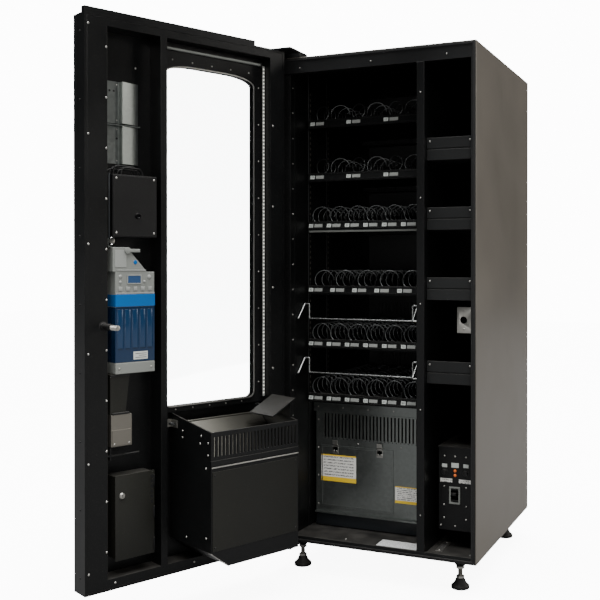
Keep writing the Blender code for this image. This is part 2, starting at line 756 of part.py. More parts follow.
def build_storage(cabinet):
    """The shelves, the power box with its switch, and the strike for the door bolt."""
    left = PARTITION_RIGHT + GAP
    right = RIGHT_WALL - GAP
    low = POWER_BOTTOM + POWER_HEIGHT
    front = SHELF_SETBACK + SHELF_LIP
    back = SHELF_SETBACK + SHELF_DEPTH
    lower = SHELF_HEIGHT / 2 - SHELF_GROOVE / 2
    upper = lower + SHELF_GROOVE
    shelf = [
        (back, 0),
        (back, SHEET),
        (front + SHEET, SHEET),
        (front + SHEET, SHELF_HEIGHT),
        (SHELF_SETBACK, SHELF_HEIGHT),
        (SHELF_SETBACK, upper),
        (front, upper),
        (front, lower),
        (SHELF_SETBACK, lower),
        (SHELF_SETBACK, 0),
    ]
    for number, share in enumerate(SHELF_LEVEL_SHARES):
        level = low + share * (HEADER_BOTTOM - low)
        outline = [(y, z + level) for y, z in shelf]
        part(
            f"storage_shelf_{number + 1}", "dark_grey_paint",
            prism(outline, "X", STORAGE_LEFT + GAP, right), cabinet,
        )
    box_left = right - POWER_WIDTH
    wall = POWER_WALL
    toggle_x = right - TOGGLE_SIDE
    toggle_z = POWER_BOTTOM + TOGGLE_LEVEL
    hood = cuboid(
        (box_left, POWER_SETBACK - POWER_HOOD, low - wall),
        (right, POWER_SETBACK + wall, low),
    )
    hole = cuboid(
        (toggle_x - TOGGLE_WIDTH / 2 - TOGGLE_CLEARANCE, 0, toggle_z - TOGGLE_HEIGHT),
        (toggle_x + TOGGLE_WIDTH / 2 + TOGGLE_CLEARANCE, 1, toggle_z + TOGGLE_HEIGHT),
    )
    inside = cuboid(
        (box_left + wall, POWER_SETBACK + wall, POWER_BOTTOM + wall),
        (right - wall, 1, low - wall),
    )
    part(
        "control_box", "black_powder_coat",
        cuboid(
            (box_left, POWER_SETBACK, POWER_BOTTOM), (right, POWER_SETBACK + POWER_DEPTH, low)
        ),
        cabinet, add=[hood], cut=[inside, hole],
    )
    toggle_end = toggle_z + TOGGLE_RISE
    toggle = [
        (POWER_SETBACK + wall, toggle_z - TOGGLE_HEIGHT / 2),
        (POWER_SETBACK + wall, toggle_z + TOGGLE_HEIGHT / 2),
        (POWER_SETBACK - TOGGLE_LENGTH, toggle_end + TOGGLE_HEIGHT / 4),
        (POWER_SETBACK - TOGGLE_LENGTH, toggle_end - TOGGLE_HEIGHT / 4),
    ]
    part(
        "breaker_lever", "black_plastic",
        prism(toggle, "X", toggle_x - TOGGLE_WIDTH / 2, toggle_x + TOGGLE_WIDTH / 2), cabinet,
        pivot=(toggle_x, POWER_SETBACK + wall / 2, toggle_z),
    )
    strike = [
        (right, STRIKE_SETBACK),
        (right, STRIKE_SETBACK + STRIKE_LEG),
        (right - STRIKE_THICKNESS, STRIKE_SETBACK + STRIKE_LEG),
        (right - STRIKE_THICKNESS, STRIKE_SETBACK + STRIKE_THICKNESS),
        (right - STRIKE_WIDTH, STRIKE_SETBACK + STRIKE_THICKNESS),
        (right - STRIKE_WIDTH, STRIKE_SETBACK),
    ]
    half = STRIKE_HEIGHT / 2
    part(
        "lock_strike_plate", "zinc_plate",
        prism(strike, "Z", LATCH_HEIGHT - half, LATCH_HEIGHT + half), cabinet,
        cut=[rod((LATCH_X, LATCH_HEIGHT), STRIKE_HOLE_RADIUS, "Y", 0, 1)],
    )


# ---------------------------------------------------------------- trays


def tray_levels():
    """The heights of the tray rails, from the lowest up."""
    room = CEILING - FIRST_LEVEL
    return [FIRST_LEVEL + share * room for share in TRAY_LEVEL_SHARES]


def build_tray(cabinet, number, level, columns):
    """One sliding tray: a pan with dividers, its label rail and its motor housing."""
    rail_low = level - RAIL_HEIGHT / 2
    pan_low = rail_low + PAN_RISE
    pan_top = pan_low + PAN_SHEET
    half = PAN_SHEET / 2
    comb = [(TRAY_RIGHT, pan_low), (TRAY_LEFT, pan_low), (TRAY_LEFT, pan_top + DIVIDER_HEIGHT)]
    comb.append((TRAY_LEFT + PAN_SHEET, pan_top + DIVIDER_HEIGHT))
    comb.append((TRAY_LEFT + PAN_SHEET, pan_top))
    for divider in range(1, columns):
        x = TRAY_LEFT + TRAY_WIDTH * divider / columns
        comb.append((x - half, pan_top))
        comb.append((x - half, pan_top + DIVIDER_HEIGHT))
        comb.append((x + half, pan_top + DIVIDER_HEIGHT))
        comb.append((x + half, pan_top))
    comb.append((TRAY_RIGHT - PAN_SHEET, pan_top))
    comb.append((TRAY_RIGHT - PAN_SHEET, pan_top + DIVIDER_HEIGHT))
    comb.append((TRAY_RIGHT, pan_top + DIVIDER_HEIGHT))
    rail_back = TRAY_SETBACK + RAIL_DEPTH
    rail = [
        (TRAY_SETBACK, rail_low),
        (TRAY_SETBACK + RAIL_SLANT, rail_low + RAIL_HEIGHT),
        (rail_back, rail_low + RAIL_HEIGHT),
        (rail_back, rail_low),
    ]
    motors = cuboid(
        (TRAY_LEFT, MOTOR_FRONT, rail_low), (TRAY_RIGHT, TRAY_BACK, rail_low + MOTOR_HEIGHT)
    )
    body = empty(f"tray_{number}_slide", (TRAY_LEFT, TRAY_SETBACK, level), cabinet)
    part(
        f"tray_{number}", "black_powder_coat",
        prism(comb, "Y", rail_back - JOIN_OVERLAP, MOTOR_FRONT + JOIN_OVERLAP), body,
        add=[prism(rail, "X", TRAY_LEFT, TRAY_RIGHT), motors],
    )
    return body


def build_spiral(name, tray, x, level, hand):
    """One vend spiral, turning about the line of its motor shaft."""
    radius = (SPIRAL_DIAMETER - WIRE_DIAMETER) / 2
    pan_top = level - RAIL_HEIGHT / 2 + PAN_RISE + PAN_SHEET
    z = pan_top + SPIRAL_LIFT + SPIRAL_DIAMETER / 2
    start = TRAY_SETBACK + RAIL_DEPTH + SPIRAL_FRONT_GAP
    end = MOTOR_FRONT - SPIRAL_HUB - WIRE_DIAMETER
    steps = round((end - start) / SPIRAL_PITCH * SPIRAL_STEPS)
    points = []
    for step in range(steps + 1):
        angle = hand * 2 * math.pi * step / SPIRAL_STEPS - math.pi / 2
        y = start + (end - start) * step / steps
        points.append((x + radius * math.cos(angle), y, z + radius * math.sin(angle)))
    points.append((x, end + WIRE_DIAMETER, z))
    points.append((x, MOTOR_FRONT - 2 * GAP, z))
    wire(name, "spring_wire", points, WIRE_DIAMETER, tray, (x, MOTOR_FRONT, z))


def build_trays(cabinet):
    """All the trays. The widest and the second-highest kind carry their spirals as pieces."""
    levels = tray_levels()
    cell = TRAY_WIDTH / FINEST_COLUMNS
    for index, (level, columns) in enumerate(zip(levels, TRAY_COLUMNS)):
        number = len(levels) - index
        tray = build_tray(cabinet, number, level, columns)
        if number == 1:
            for place in range(FINEST_COLUMNS):
                hand = 1 if place % 2 else -1
                x = TRAY_LEFT + (place + 0.5) * cell
                build_spiral(f"spiral_{number}_{place + 1}", tray, x, level, hand)
        if number == 4:
            for place in range(columns):
                x = TRAY_LEFT + (place + 0.5) * TRAY_WIDTH / columns
                build_spiral(f"spiral_{number}_{place + 1}", tray, x, level, 1)


def build_guards(cabinet):
    """Two swinging wire guards, each turning on its two ends just under the tray above it."""
    levels = tray_levels()
    swing = math.hypot(GUARD_BACK, GUARD_TOP)
    left = LINER_FACE + GUARD_WIRE
    right = PARTITION_LEFT - GUARD_WIRE
    bar_left = left + GUARD_INSET
    bar_right = right - GUARD_INSET
    for name, above in (("lower", levels[1]), ("upper", levels[2])):
        z = above - RAIL_HEIGHT / 2 - GUARD_DROP - swing
        y = GUARD_SETBACK
        top = (y + GUARD_BACK, z + GUARD_TOP)
        bar = (y + GUARD_BACK, z - GUARD_BAR_DROP)
        points = [
            (LINER_FACE + 2 * GAP, y, z),
            (left, y, z),
            (left, *top),
            (bar_left, *top),
            (bar_left, *bar),
            (bar_right, *bar),
            (bar_right, *top),
            (right, *top),
            (right, y, z),
            (PARTITION_RIGHT - PARTITION_SKIN - 2 * GAP, y, z),
        ]
        wire(f"wire_guard_{name}", "zinc_plate", points, GUARD_WIRE, cabinet, (left, y, z))


# ---------------------------------------------------------------- door


def window_outline(grow):
    """The window opening's outline across the door, its top corners arched, moved out by a lap."""
    low, high = WINDOW_LOW_CORNER, (WINDOW_ARCH_WIDTH, WINDOW_ARCH_DROP)
    corners = (
        (WINDOW_RIGHT - low, WINDOW_SILL + low, low, low, -90),
        (WINDOW_RIGHT - high[0], WINDOW_TOP - high[1], *high, 0),
        (WINDOW_LEFT + high[0], WINDOW_TOP - high[1], *high, 90),
        (WINDOW_LEFT + low, WINDOW_SILL + low, low, low, 180),
    )
    outline = []
    for x, z, wide, tall, start in corners:
        for step in range(CORNER_STEPS + 1):
            angle = math.radians(start + 90 * step / CORNER_STEPS)
            outline.append(
                (x + (wide + grow) * math.cos(angle), z + (tall + grow) * math.sin(angle))
            )
    return outline


def build_door_shell(door):
    """The outer skin with its four flanges, its openings and the holes for the hinge pins."""
    pin = (PIVOT.x, PIVOT.y)
    pin_holes = rod(pin, PIN_RADIUS + TURN_GAP, "Z", -1, 3)
    delivery_left = BIN_HINGE_SIDE + DELIVERY_MARGIN
    delivery_right = BIN_LATCH_SIDE - DELIVERY_MARGIN
    cup_left = MONEY_RIGHT - COIN_MECH_SIDE + CHUTE_SIDE - CUP_WIDTH
    openings = [
        prism(window_outline(0), "Y", -1, 0),
        cuboid(
            (delivery_left, -1, DELIVERY_BOTTOM),
            (delivery_right, 0, DELIVERY_BOTTOM + DELIVERY_HEIGHT),
        ),
        cuboid(
            (cup_left + CUP_MARGIN, -1, CHUTE_BOTTOM - CUP_HEIGHT + CUP_MARGIN),
            (cup_left + CUP_WIDTH - CUP_MARGIN, 0, CHUTE_BOTTOM - CUP_MARGIN),
        ),
        rod((LATCH_X, LATCH_HEIGHT), BOLT_RADIUS + TURN_GAP, "Y", -1, 0),
        rod(button_centre(), BUTTON_RADIUS + TURN_GAP, "Y", -1, 0),
    ]
    inside = cuboid(
        (DOOR_FLANGE, SKIN_BACK, DOOR_LIFT + DOOR_FLANGE),
        (CABINET_WIDTH - DOOR_FLANGE, 1, DOOR_TOP - DOOR_FLANGE),
    )
    strip = cuboid(
        (STRIP_START, DOOR_BACK - STRIP_DEPTH, DOOR_TOP - DOOR_FLANGE / 2),
        (CABINET_WIDTH, DOOR_BACK, DOOR_TOP + STRIP_HEIGHT),
    )
    part(
        "door_shell", "black_powder_coat",
        cuboid((0, DOOR_FACE, DOOR_LIFT), (CABINET_WIDTH, DOOR_BACK, DOOR_TOP)), door,
        add=[strip], cut=[inside, together(openings), pin_holes],
    )


def build_inner_frame(door):
    """The ladder frame inside the door, folded from sheet and open towards the skin."""
    back = DOOR_BACK - GAP
    outer = ((FRAME_LEFT, MONEY_BACK, FRAME_BOTTOM), (FRAME_RIGHT, back, FRAME_TOP))
    bay = cuboid((BAY_LEFT, -1, BAY_BOTTOM), (BAY_RIGHT, 1, BAY_TOP))
    money = cuboid((MONEY_LEFT, -1, BAY_BOTTOM), (MONEY_RIGHT, 1, BAY_TOP))
    wall = FRAME_SHEET
    uprights = ((FRAME_LEFT, BAY_LEFT), (BAY_RIGHT, MONEY_LEFT), (MONEY_RIGHT, FRAME_RIGHT))
    hollows = [
        cuboid(
            (left + wall, -1, FRAME_BOTTOM + wall), (right - wall, back - wall, FRAME_TOP - wall)
        )
        for left, right in uprights
    ]
    for low, high in ((FRAME_BOTTOM, BAY_BOTTOM), (BAY_TOP, FRAME_TOP)):
        hollows.append(
            cuboid(
                (FRAME_LEFT + wall, -1, low + wall), (FRAME_RIGHT - wall, back - wall, high - wall)
            )
        )
    bolt = rod((LATCH_X, LATCH_HEIGHT), BOLT_RADIUS + TURN_GAP, "Y", -1, 1)
    part(
        "door_inner_frame", "black_powder_coat", cuboid(*outer), door,
        cut=[together([bay, money]), *hollows, bolt],
    )


def build_window(door):
    """The insulated pane, the retainer that clamps it and the light beside it."""
    lap = PANE_OVERLAP
    part(
        "window_glass", "window_glass",
        cuboid(
            (WINDOW_LEFT - lap, SKIN_BACK + GAP, WINDOW_SILL - lap),
            (WINDOW_RIGHT + lap, RETAINER_FRONT - GAP, WINDOW_TOP + lap),
        ),
        door,
    )
    back = RETAINER_FRONT + RETAINER_THICKNESS
    lap = RETAINER_LAP
    part(
        "window_retainer", "black_powder_coat",
        cuboid(
            (BAY_LEFT + GAP, RETAINER_FRONT, WINDOW_SILL - RETAINER_DROP),
            (BAY_RIGHT - GAP, back, BAY_TOP - GAP),
        ),
        door,
        cut=[
            prism(window_outline(lap), "Y", -1, 1)
        ],
    )
    left = BAY_LEFT + LIGHT_MARGIN
    part(
        "led_strip", "light_diffuser",
        cuboid(
            (left, back + GAP, WINDOW_SILL),
            (left + LIGHT_WIDTH, back + GAP + LIGHT_DEPTH, BAY_TOP - TOP_BAND),
        ),
        door,
    )


def bin_section(inset):
    """The bin's outline across the door, with its cut corner, moved in by a wall."""
    left = BIN_HINGE_SIDE + inset
    right = BIN_LATCH_SIDE - inset
    low = BIN_BOTTOM + inset
    slope = math.hypot(BIN_CHAMFER_WIDTH, BIN_CHAMFER_HEIGHT)
    ease = inset * (BIN_CHAMFER_WIDTH + BIN_CHAMFER_HEIGHT - slope) / BIN_CHAMFER_WIDTH
    rise = inset * (BIN_CHAMFER_WIDTH + BIN_CHAMFER_HEIGHT - slope) / BIN_CHAMFER_HEIGHT
    high = BIN_TOP_AT_DOOR + inset
    return [
        (left, low),
        (right - BIN_CHAMFER_WIDTH + rise, low),
        (right, low + BIN_CHAMFER_HEIGHT - ease),
        (right, high),
        (left, high),
    ]


def build_bin(door):
    """The delivery bin, its slotted top edge, the plate over its hinge side and both flaps."""
    back = MONEY_BACK
    body = prism(bin_section(0), "Y", back, BIN_REACH)
    inside = prism(bin_section(BIN_WALL), "Y", -1, BIN_REACH - BIN_WALL)
    slope = [
        (back, BIN_TOP_AT_DOOR),
        (BIN_REACH, BIN_TOP),
        (BIN_REACH + BIN_WALL, BIN_TOP),
        (BIN_REACH + BIN_WALL, 2),
        (-1, 2),
        (-1, BIN_TOP_AT_DOOR),
    ]
    slot_top = BIN_TOP - BIN_SLOT_DROP
    first = BIN_HINGE_SIDE + BIN_SLOT_MARGIN
    pitch = (BIN_WIDTH - 2 * BIN_SLOT_MARGIN) / (BIN_SLOTS - 1)
    slots = [
        cuboid(
            (first + step * pitch - BIN_SLOT_WIDTH / 2, BIN_REACH / 2, slot_top - BIN_SLOT_HEIGHT),
            (first + step * pitch + BIN_SLOT_WIDTH / 2, 1, slot_top),
        )
        for step in range(BIN_SLOTS)
    ]
    plate_left = TRAY_LEFT
    plate_low = BIN_TOP + DEFLECTOR_LIFT
    plate_high = plate_low + DEFLECTOR_RISE
    plate_right = plate_left + DEFLECTOR_LENGTH
    deflector = [
        (plate_right, plate_low),
        (plate_right, plate_low + DEFLECTOR_SHEET),
        (plate_left, plate_high + DEFLECTOR_SHEET),
        (plate_left, plate_high),
    ]
    gusset_top = plate_high - DEFLECTOR_RISE * (
        BIN_HINGE_SIDE + BIN_WALL - plate_left
    ) / DEFLECTOR_LENGTH
    gusset = cuboid(
        (BIN_HINGE_SIDE, GAP, BIN_TOP - BIN_WALL),
        (BIN_HINGE_SIDE + BIN_WALL - GAP, DEFLECTOR_DEPTH - GAP, gusset_top + DEFLECTOR_SHEET / 2),
    )
    part(
        "bin_housing", "black_powder_coat", body, door,
        cut=[inside, prism(slope, "X", 0, 1), together(slots)],
        after=[gusset, prism(deflector, "Y", 0, DEFLECTOR_DEPTH)],
    )
    build_bin_flaps(door)


def build_bin_flaps(door):
    """The steel flap inside the bin and the customer's flap in the door skin."""
    inner_left = BIN_HINGE_SIDE + BIN_WALL + TURN_GAP
    inner_right = BIN_LATCH_SIDE - BIN_WALL - TURN_GAP
    hinge = Vector((inner_left, -INNER_FLAP_SETBACK, BIN_TOP_AT_DOOR - INNER_FLAP_DROP))
    plate = cuboid(
        (inner_left, 0, -INNER_FLAP_SHEET / 2),
        (inner_right, INNER_FLAP_LENGTH, INNER_FLAP_SHEET / 2),
    )
    lean = Matrix.Translation((0, hinge.y, hinge.z)) @ Matrix.Rotation(-INNER_FLAP_SLOPE, 4, "X")
    bmesh.ops.transform(plate, matrix=lean, verts=plate.verts)
    barrel = rod((hinge.y, hinge.z), FLAP_BARREL, "X", inner_left, inner_right, FOOT_SIDES // 2)
    part(
        "bin_inner_flap", "galvanised_steel", plate, door,
        add=[barrel], pivot=hinge, smooth=True,
    )
    left = BIN_HINGE_SIDE + DELIVERY_MARGIN + DELIVERY_GAP
    right = BIN_LATCH_SIDE - DELIVERY_MARGIN - DELIVERY_GAP
    top = DELIVERY_BOTTOM + DELIVERY_HEIGHT - DELIVERY_GAP
    face = DOOR_FACE + TURN_GAP
    part(
        "delivery_flap", "black_plastic",
        cuboid((left, face, DELIVERY_BOTTOM + DELIVERY_GAP), (right, face + DELIVERY_SHEET, top)),
        door,
        pivot=(left, face + DELIVERY_SHEET / 2, top + DELIVERY_GAP - DELIVERY_HINGE_DROP),
    )


def build_coin_equipment(door):
    """Bill validator cover, coin mechanism with its lever, chute, cup and cash box."""
    right = MONEY_RIGHT - VALIDATOR_SIDE
    left = right - VALIDATOR_WIDTH
    high = VALIDATOR_BOTTOM + VALIDATOR_HEIGHT
    wall = CUP_WALL
    part(
        "validator_cover", "black_powder_coat",
        cuboid((left, MONEY_BACK, VALIDATOR_BOTTOM), (right, MONEY_FRONT, high)), door,
        cut=[
            cuboid(
                (left + wall, -1, VALIDATOR_BOTTOM + wall),
                (right - wall, MONEY_FRONT - wall, high - wall),
            )
        ],
    )
    right = MONEY_RIGHT - COIN_MECH_SIDE
    left = right - COIN_MECH_WIDTH
    face_low = COIN_MECH_BOTTOM + COIN_MECH_HEIGHT
    face_high = face_low + COIN_FACE_HEIGHT
    head_right = right + VALIDATOR_SIDE / 2
    head_high = face_high + COIN_HEAD_HEIGHT
    outline = [
        (left, COIN_MECH_BOTTOM),
        (right, COIN_MECH_BOTTOM),
        (right, face_high),
        (head_right, face_high),
        (head_right, head_high),
        (head_right - COIN_HEAD_TOP_WIDTH, head_high),
        (head_right - COIN_HEAD_WIDTH, face_high),
        (left, face_high),
    ]
    part(
        "coin_mech", "grey_plastic", prism(outline, "Y", MONEY_BACK, MONEY_FRONT), door,
    )
    lever_x = head_right - COIN_HEAD_TOP_WIDTH
    lever_z = head_high - LEVER_WIDTH
    lever_back = MONEY_FRONT + GAP
    lever = cuboid(
        (lever_x - LEVER_LENGTH, lever_back, lever_z - LEVER_WIDTH / 2),
        (lever_x, lever_back + LEVER_SHEET, lever_z + LEVER_WIDTH / 2),
    )
    part(
        "coin_return_lever", "blue_plastic", lever, door,
        add=[rod((lever_x, lever_z), LEVER_WIDTH, "Y", lever_back, lever_back + LEVER_SHEET)],
        pivot=(lever_x, lever_back, lever_z), smooth=True,
    )
    chute_right = right + CHUTE_SIDE - GAP
    chute = [
        (chute_right, COIN_MECH_BOTTOM - GAP),
        (chute_right - CHUTE_TOP_WIDTH, COIN_MECH_BOTTOM - GAP),
        (chute_right - CHUTE_MOUTH_WIDTH, CHUTE_BOTTOM + GAP),
        (chute_right, CHUTE_BOTTOM + GAP),
    ]
    part(
        "coin_chute", "dark_grey_paint",
        prism(chute, "Y", MONEY_BACK, MONEY_FRONT - MONEY_SETBACK / 2), door,
    )
    cup_right = right + CHUTE_SIDE
    cup_left = cup_right - CUP_WIDTH
    cup_low = CHUTE_BOTTOM - CUP_HEIGHT
    part(
        "coin_cup", "galvanised_steel",
        cuboid((cup_left, MONEY_BACK, cup_low), (cup_right, MONEY_FRONT, CHUTE_BOTTOM)), door,
        cut=[
            cuboid(
                (cup_left + CUP_WALL, -1, cup_low + CUP_WALL),
                (cup_right - CUP_WALL, MONEY_FRONT - CUP_WALL, CHUTE_BOTTOM - CUP_WALL),
            )
        ],
    )
    build_cash_box(door)


def build_cash_box(door):
    """The locked box that the coins fall into, and its hinged door."""
    right = MONEY_RIGHT - CASH_SIDE
    left = right - CASH_WIDTH
    high = CASH_BOTTOM + CASH_HEIGHT
    front = MONEY_FRONT - CASH_DEPTH_MARGIN - CASH_DOOR_GAP
    wall = CASH_WALL
    part(
        "cash_box", "dark_grey_paint",
        cuboid((left, MONEY_BACK, CASH_BOTTOM), (right, front, high)), door,
        cut=[
            cuboid(
                (left + wall, MONEY_BACK + wall, CASH_BOTTOM + wall),
                (right - wall, 1, high - wall),
            )
        ],
    )
    lap = CASH_DOOR_LAP
    panel_back = front + CASH_DOOR_GAP
    hinge_y = panel_back + CASH_DOOR_SHEET
    part(
        "cash_box_door", "dark_grey_paint",
        cuboid(
            (left - lap, panel_back, CASH_BOTTOM - lap), (right + lap, hinge_y, high + lap)
        ),
        door,
        pivot=(left - lap + CASH_HINGE, hinge_y, CASH_BOTTOM),
    )


def button_centre():
    """Where the coin return button sits, between the coin mechanism and the validator."""
    return (MONEY_RIGHT - VALIDATOR_WIDTH / 3, VALIDATOR_BOTTOM - BUTTON_RADIUS - 2 * GAP)


def build_controls(door):
    """The control panel on the door's face, the coin return button and the door handle."""
    centre = (MONEY_LEFT + MONEY_RIGHT) / 2
    left = centre - PANEL_WIDTH / 2
    right = centre + PANEL_WIDTH / 2
    high = PANEL_BOTTOM + PANEL_HEIGHT
    back = DOOR_FACE - GAP
    face = back - PANEL_THICKNESS
    margin = DISPLAY_MARGIN
    display_low = high - margin - DISPLAY_HEIGHT
    keypad_low = display_low - margin - KEYPAD_HEIGHT
    bill = VALIDATOR_BOTTOM + VALIDATOR_HEIGHT / 2
    recess_back = face + PANEL_RECESS
    recesses = [
        cuboid((left + margin, -1, display_low), (right - margin, recess_back, high - margin)),
        cuboid(
            (left + margin, -1, keypad_low),
            (right - margin, recess_back, keypad_low + KEYPAD_HEIGHT),
        ),
        cuboid(
            (centre - BILL_SLOT_WIDTH / 2, -1, bill - BILL_SLOT_HEIGHT / 2),
            (centre + BILL_SLOT_WIDTH / 2, recess_back, bill + BILL_SLOT_HEIGHT / 2),
        ),
    ]
    button = button_centre()
    part(
        "control_panel", "black_plastic",
        cuboid((left, face, PANEL_BOTTOM), (right, back, high)), door,
        cut=[together(recesses), rod(button, BUTTON_RADIUS + TURN_GAP, "Y", -1, 0)],
    )
    start = face - BUTTON_PROUD
    part(
        "coin_return_button", "zinc_plate",
        rod(button, BUTTON_RADIUS, "Y", start, start + BUTTON_LENGTH), door,
        pivot=(button[0], start, button[1]), smooth=True,
    )
    hub_back = DOOR_FACE - TURN_GAP
    hub_face = hub_back - HANDLE_HUB_DEPTH
    half_width = HANDLE_GRIP_WIDTH / 2
    half_length = HANDLE_GRIP_LENGTH / 2
    axis = (LATCH_X, LATCH_HEIGHT)
    grip = cuboid(
        (LATCH_X - half_width, hub_face - HANDLE_GRIP_DEPTH + GAP, LATCH_HEIGHT - half_length),
        (LATCH_X + half_width, hub_face + GAP, LATCH_HEIGHT + half_length),
    )
    part(
        "door_handle", "zinc_plate",
        rod(axis, HANDLE_HUB_RADIUS, "Y", hub_face, hub_back, FOOT_SIDES), door,
        add=[grip, rod(axis, BOLT_RADIUS, "Y", hub_face + HANDLE_HUB_DEPTH / 2, BOLT_REACH)],
        pivot=(LATCH_X, DOOR_FACE, LATCH_HEIGHT), smooth=True,
    )


# ---------------------------------------------------------------- assembly


def stand_on_origin(machine):
    """Move the machine so that the origin lies under the middle of its bounding box."""
    bpy.context.view_layer.update()
    graph = bpy.context.evaluated_depsgraph_get()
    corners = []
    for piece in bpy.context.scene.objects:
        if piece.type == "EMPTY":
            continue
        seen = piece.evaluated_get(graph)
        mesh = seen.to_mesh()
        corners += [seen.matrix_world @ vertex.co for vertex in mesh.vertices]
        seen.to_mesh_clear()
    low = Vector([min(corner[axis] for corner in corners) for axis in range(3)])
    high = Vector([max(corner[axis] for corner in corners) for axis in range(3)])
    machine.location = (-(low.x + high.x) / 2, -(low.y + high.y) / 2, -low.z)


def main():
    for old in list(bpy.data.objects):
        bpy.data.objects.remove(old)
    machine = empty("vending_machine", (0, 0, 0))
    cabinet = empty("cabinet", (0, 0, 0), machine)
    door = empty("door_hinge", PIVOT, cabinet)
    build_shell(cabinet)
    build_linings(cabinet)
    build_feet(cabinet)
    build_hinge_plates(cabinet)
    build_deck(cabinet)
    build_storage(cabinet)
    build_trays(cabinet)
    build_guards(cabinet)
    build_door_shell(door)
    build_inner_frame(door)
    build_window(door)
    build_bin(door)
    build_coin_equipment(door)
    build_controls(door)
    door.rotation_euler.z = -DOOR_OPEN
    stand_on_origin(machine)


main()
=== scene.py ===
"""Snack vending machine with its door open: the finished look around the machine's solids."""

import json
import math

import bmesh
import bpy
from bpy.props import FloatProperty, FloatVectorProperty, IntProperty, PointerProperty
from mathutils import Matrix, Vector


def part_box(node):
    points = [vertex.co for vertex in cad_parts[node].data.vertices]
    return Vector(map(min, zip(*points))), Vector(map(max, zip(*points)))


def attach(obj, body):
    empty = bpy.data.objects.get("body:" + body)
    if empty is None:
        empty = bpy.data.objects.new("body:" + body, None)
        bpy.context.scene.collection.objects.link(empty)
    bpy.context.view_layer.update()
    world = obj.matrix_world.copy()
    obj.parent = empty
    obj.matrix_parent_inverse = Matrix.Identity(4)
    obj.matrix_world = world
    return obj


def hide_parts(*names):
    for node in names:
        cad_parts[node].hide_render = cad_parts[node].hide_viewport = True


bl_info = {
    "name": "Snack Vending Machine",
    "version": (1, 0, 0),
    "blender": (4, 5, 0),
    "location": "View3D > Sidebar > Vending",
    "description": "Builds the visible pieces of a snack vending machine around its solids",
    "category": "Add Mesh",
}

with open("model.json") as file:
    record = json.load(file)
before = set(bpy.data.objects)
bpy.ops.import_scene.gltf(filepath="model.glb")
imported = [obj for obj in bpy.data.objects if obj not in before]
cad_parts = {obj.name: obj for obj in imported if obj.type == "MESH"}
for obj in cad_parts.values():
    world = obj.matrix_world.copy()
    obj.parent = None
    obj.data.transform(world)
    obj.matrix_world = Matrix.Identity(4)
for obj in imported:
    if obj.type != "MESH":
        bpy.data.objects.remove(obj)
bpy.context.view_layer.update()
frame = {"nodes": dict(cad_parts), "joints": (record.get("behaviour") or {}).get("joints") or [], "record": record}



def joint_named(name):
    """A joint of the frame, found by its name."""
    return next(joint for joint in frame["joints"] if joint["name"] == name)


# Places: the cabinet's own frame, and the door's frame as if it were shut
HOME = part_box("cabinet_shell")[0]
CABINET = Matrix.Translation(HOME)
HINGE = joint_named("door_hinge")
HINGE_LINE = Matrix.Translation((HINGE["pos_m"][0], HINGE["pos_m"][1], 0))
SWING = Matrix.Rotation(math.radians(HINGE["range_deg"][0]), 4, "Z")
DOOR = HINGE_LINE @ SWING @ HINGE_LINE.inverted() @ CABINET


class Extent:
    """A solid's lowest and highest corner, in the cabinet's or the shut door's frame."""

    def __init__(self, node, place):
        back = place.inverted()
        corners = [back @ vertex.co for vertex in frame["nodes"][node].data.vertices]
        self.x0, self.y0, self.z0 = (min(c[axis] for c in corners) for axis in range(3))
        self.x1, self.y1, self.z1 = (max(c[axis] for c in corners) for axis in range(3))
        self.middle = (
            (self.x0 + self.x1) / 2,
            (self.y0 + self.y1) / 2,
            (self.z0 + self.z1) / 2,
        )


ON_AXIS = 0.00001  # radius of a turned profile's end on its axis, just clear of it
WELD = 0.00001  # points nearer than this become one
ROUND, SCREW_ROUND = 35, 50  # degrees between faces up to which shading runs smooth
GLASS_LAP = 0.012  # how far the pane reaches behind the edge of its opening
DUST = (0.32, 0.30, 0.27)
PRINT_GREY, BAND_YELLOW = (0.12, 0.12, 0.12), (0.75, 0.50, 0.02)

# ---------------------------------------------------------------- settings


class VendingSizes(bpy.types.PropertyGroup):
    """Sizes of the small details."""

    edge: FloatProperty(
        name="Sheet edge", description="Rounding of folded sheet edges",
        default=0.0007, min=0.0001, max=0.003, unit="LENGTH", subtype="DISTANCE",
    )
    screw: FloatProperty(
        name="Screw head", description="Radius of the pan-head screws",
        default=0.0042, min=0.001, max=0.01, unit="LENGTH", subtype="DISTANCE",
    )
    spiral_wire: FloatProperty(
        name="Spiral wire", description="Diameter of the vend spiral wire",
        default=0.0042, min=0.002, max=0.008, unit="LENGTH", subtype="DISTANCE",
    )
    spiral_diameter: FloatProperty(
        name="Spiral diameter", description="Outside diameter of a vend spiral",
        default=0.066, min=0.03, max=0.09, unit="LENGTH", subtype="DISTANCE",
    )
    spiral_steps: IntProperty(
        name="Spiral steps", description="Straight steps in one turn of a spiral",
        default=28, min=12, max=64,
    )
    camera_lens: FloatProperty(
        name="Focal length", description="Focal length of the camera",
        default=53.54, min=10, max=200, unit="CAMERA",
    )


class VendingColours(bpy.types.PropertyGroup):
    """Colours of the main finishes."""

    powder: FloatVectorProperty(
        name="Powder coat", description="Satin black powder coat of the machine's inside",
        subtype="COLOR", size=3, min=0, max=1, default=(0.0022, 0.0024, 0.0025),
    )
    case: FloatVectorProperty(
        name="Case paint", description="Warm grey paint on the outside of the case",
        subtype="COLOR", size=3, min=0, max=1, default=(0.088, 0.077, 0.062),
    )
    zinc: FloatVectorProperty(
        name="Galvanised sheet", description="Zinc-coated sheet of the cooling deck",
        subtype="COLOR", size=3, min=0, max=1, default=(0.20, 0.215, 0.205),
    )
    blue: FloatVectorProperty(
        name="Blue housing", description="Blue plastic of the coin mechanism",
        subtype="COLOR", size=3, min=0, max=1, default=(0.002, 0.105, 0.34),
    )


# ---------------------------------------------------------------- shapes


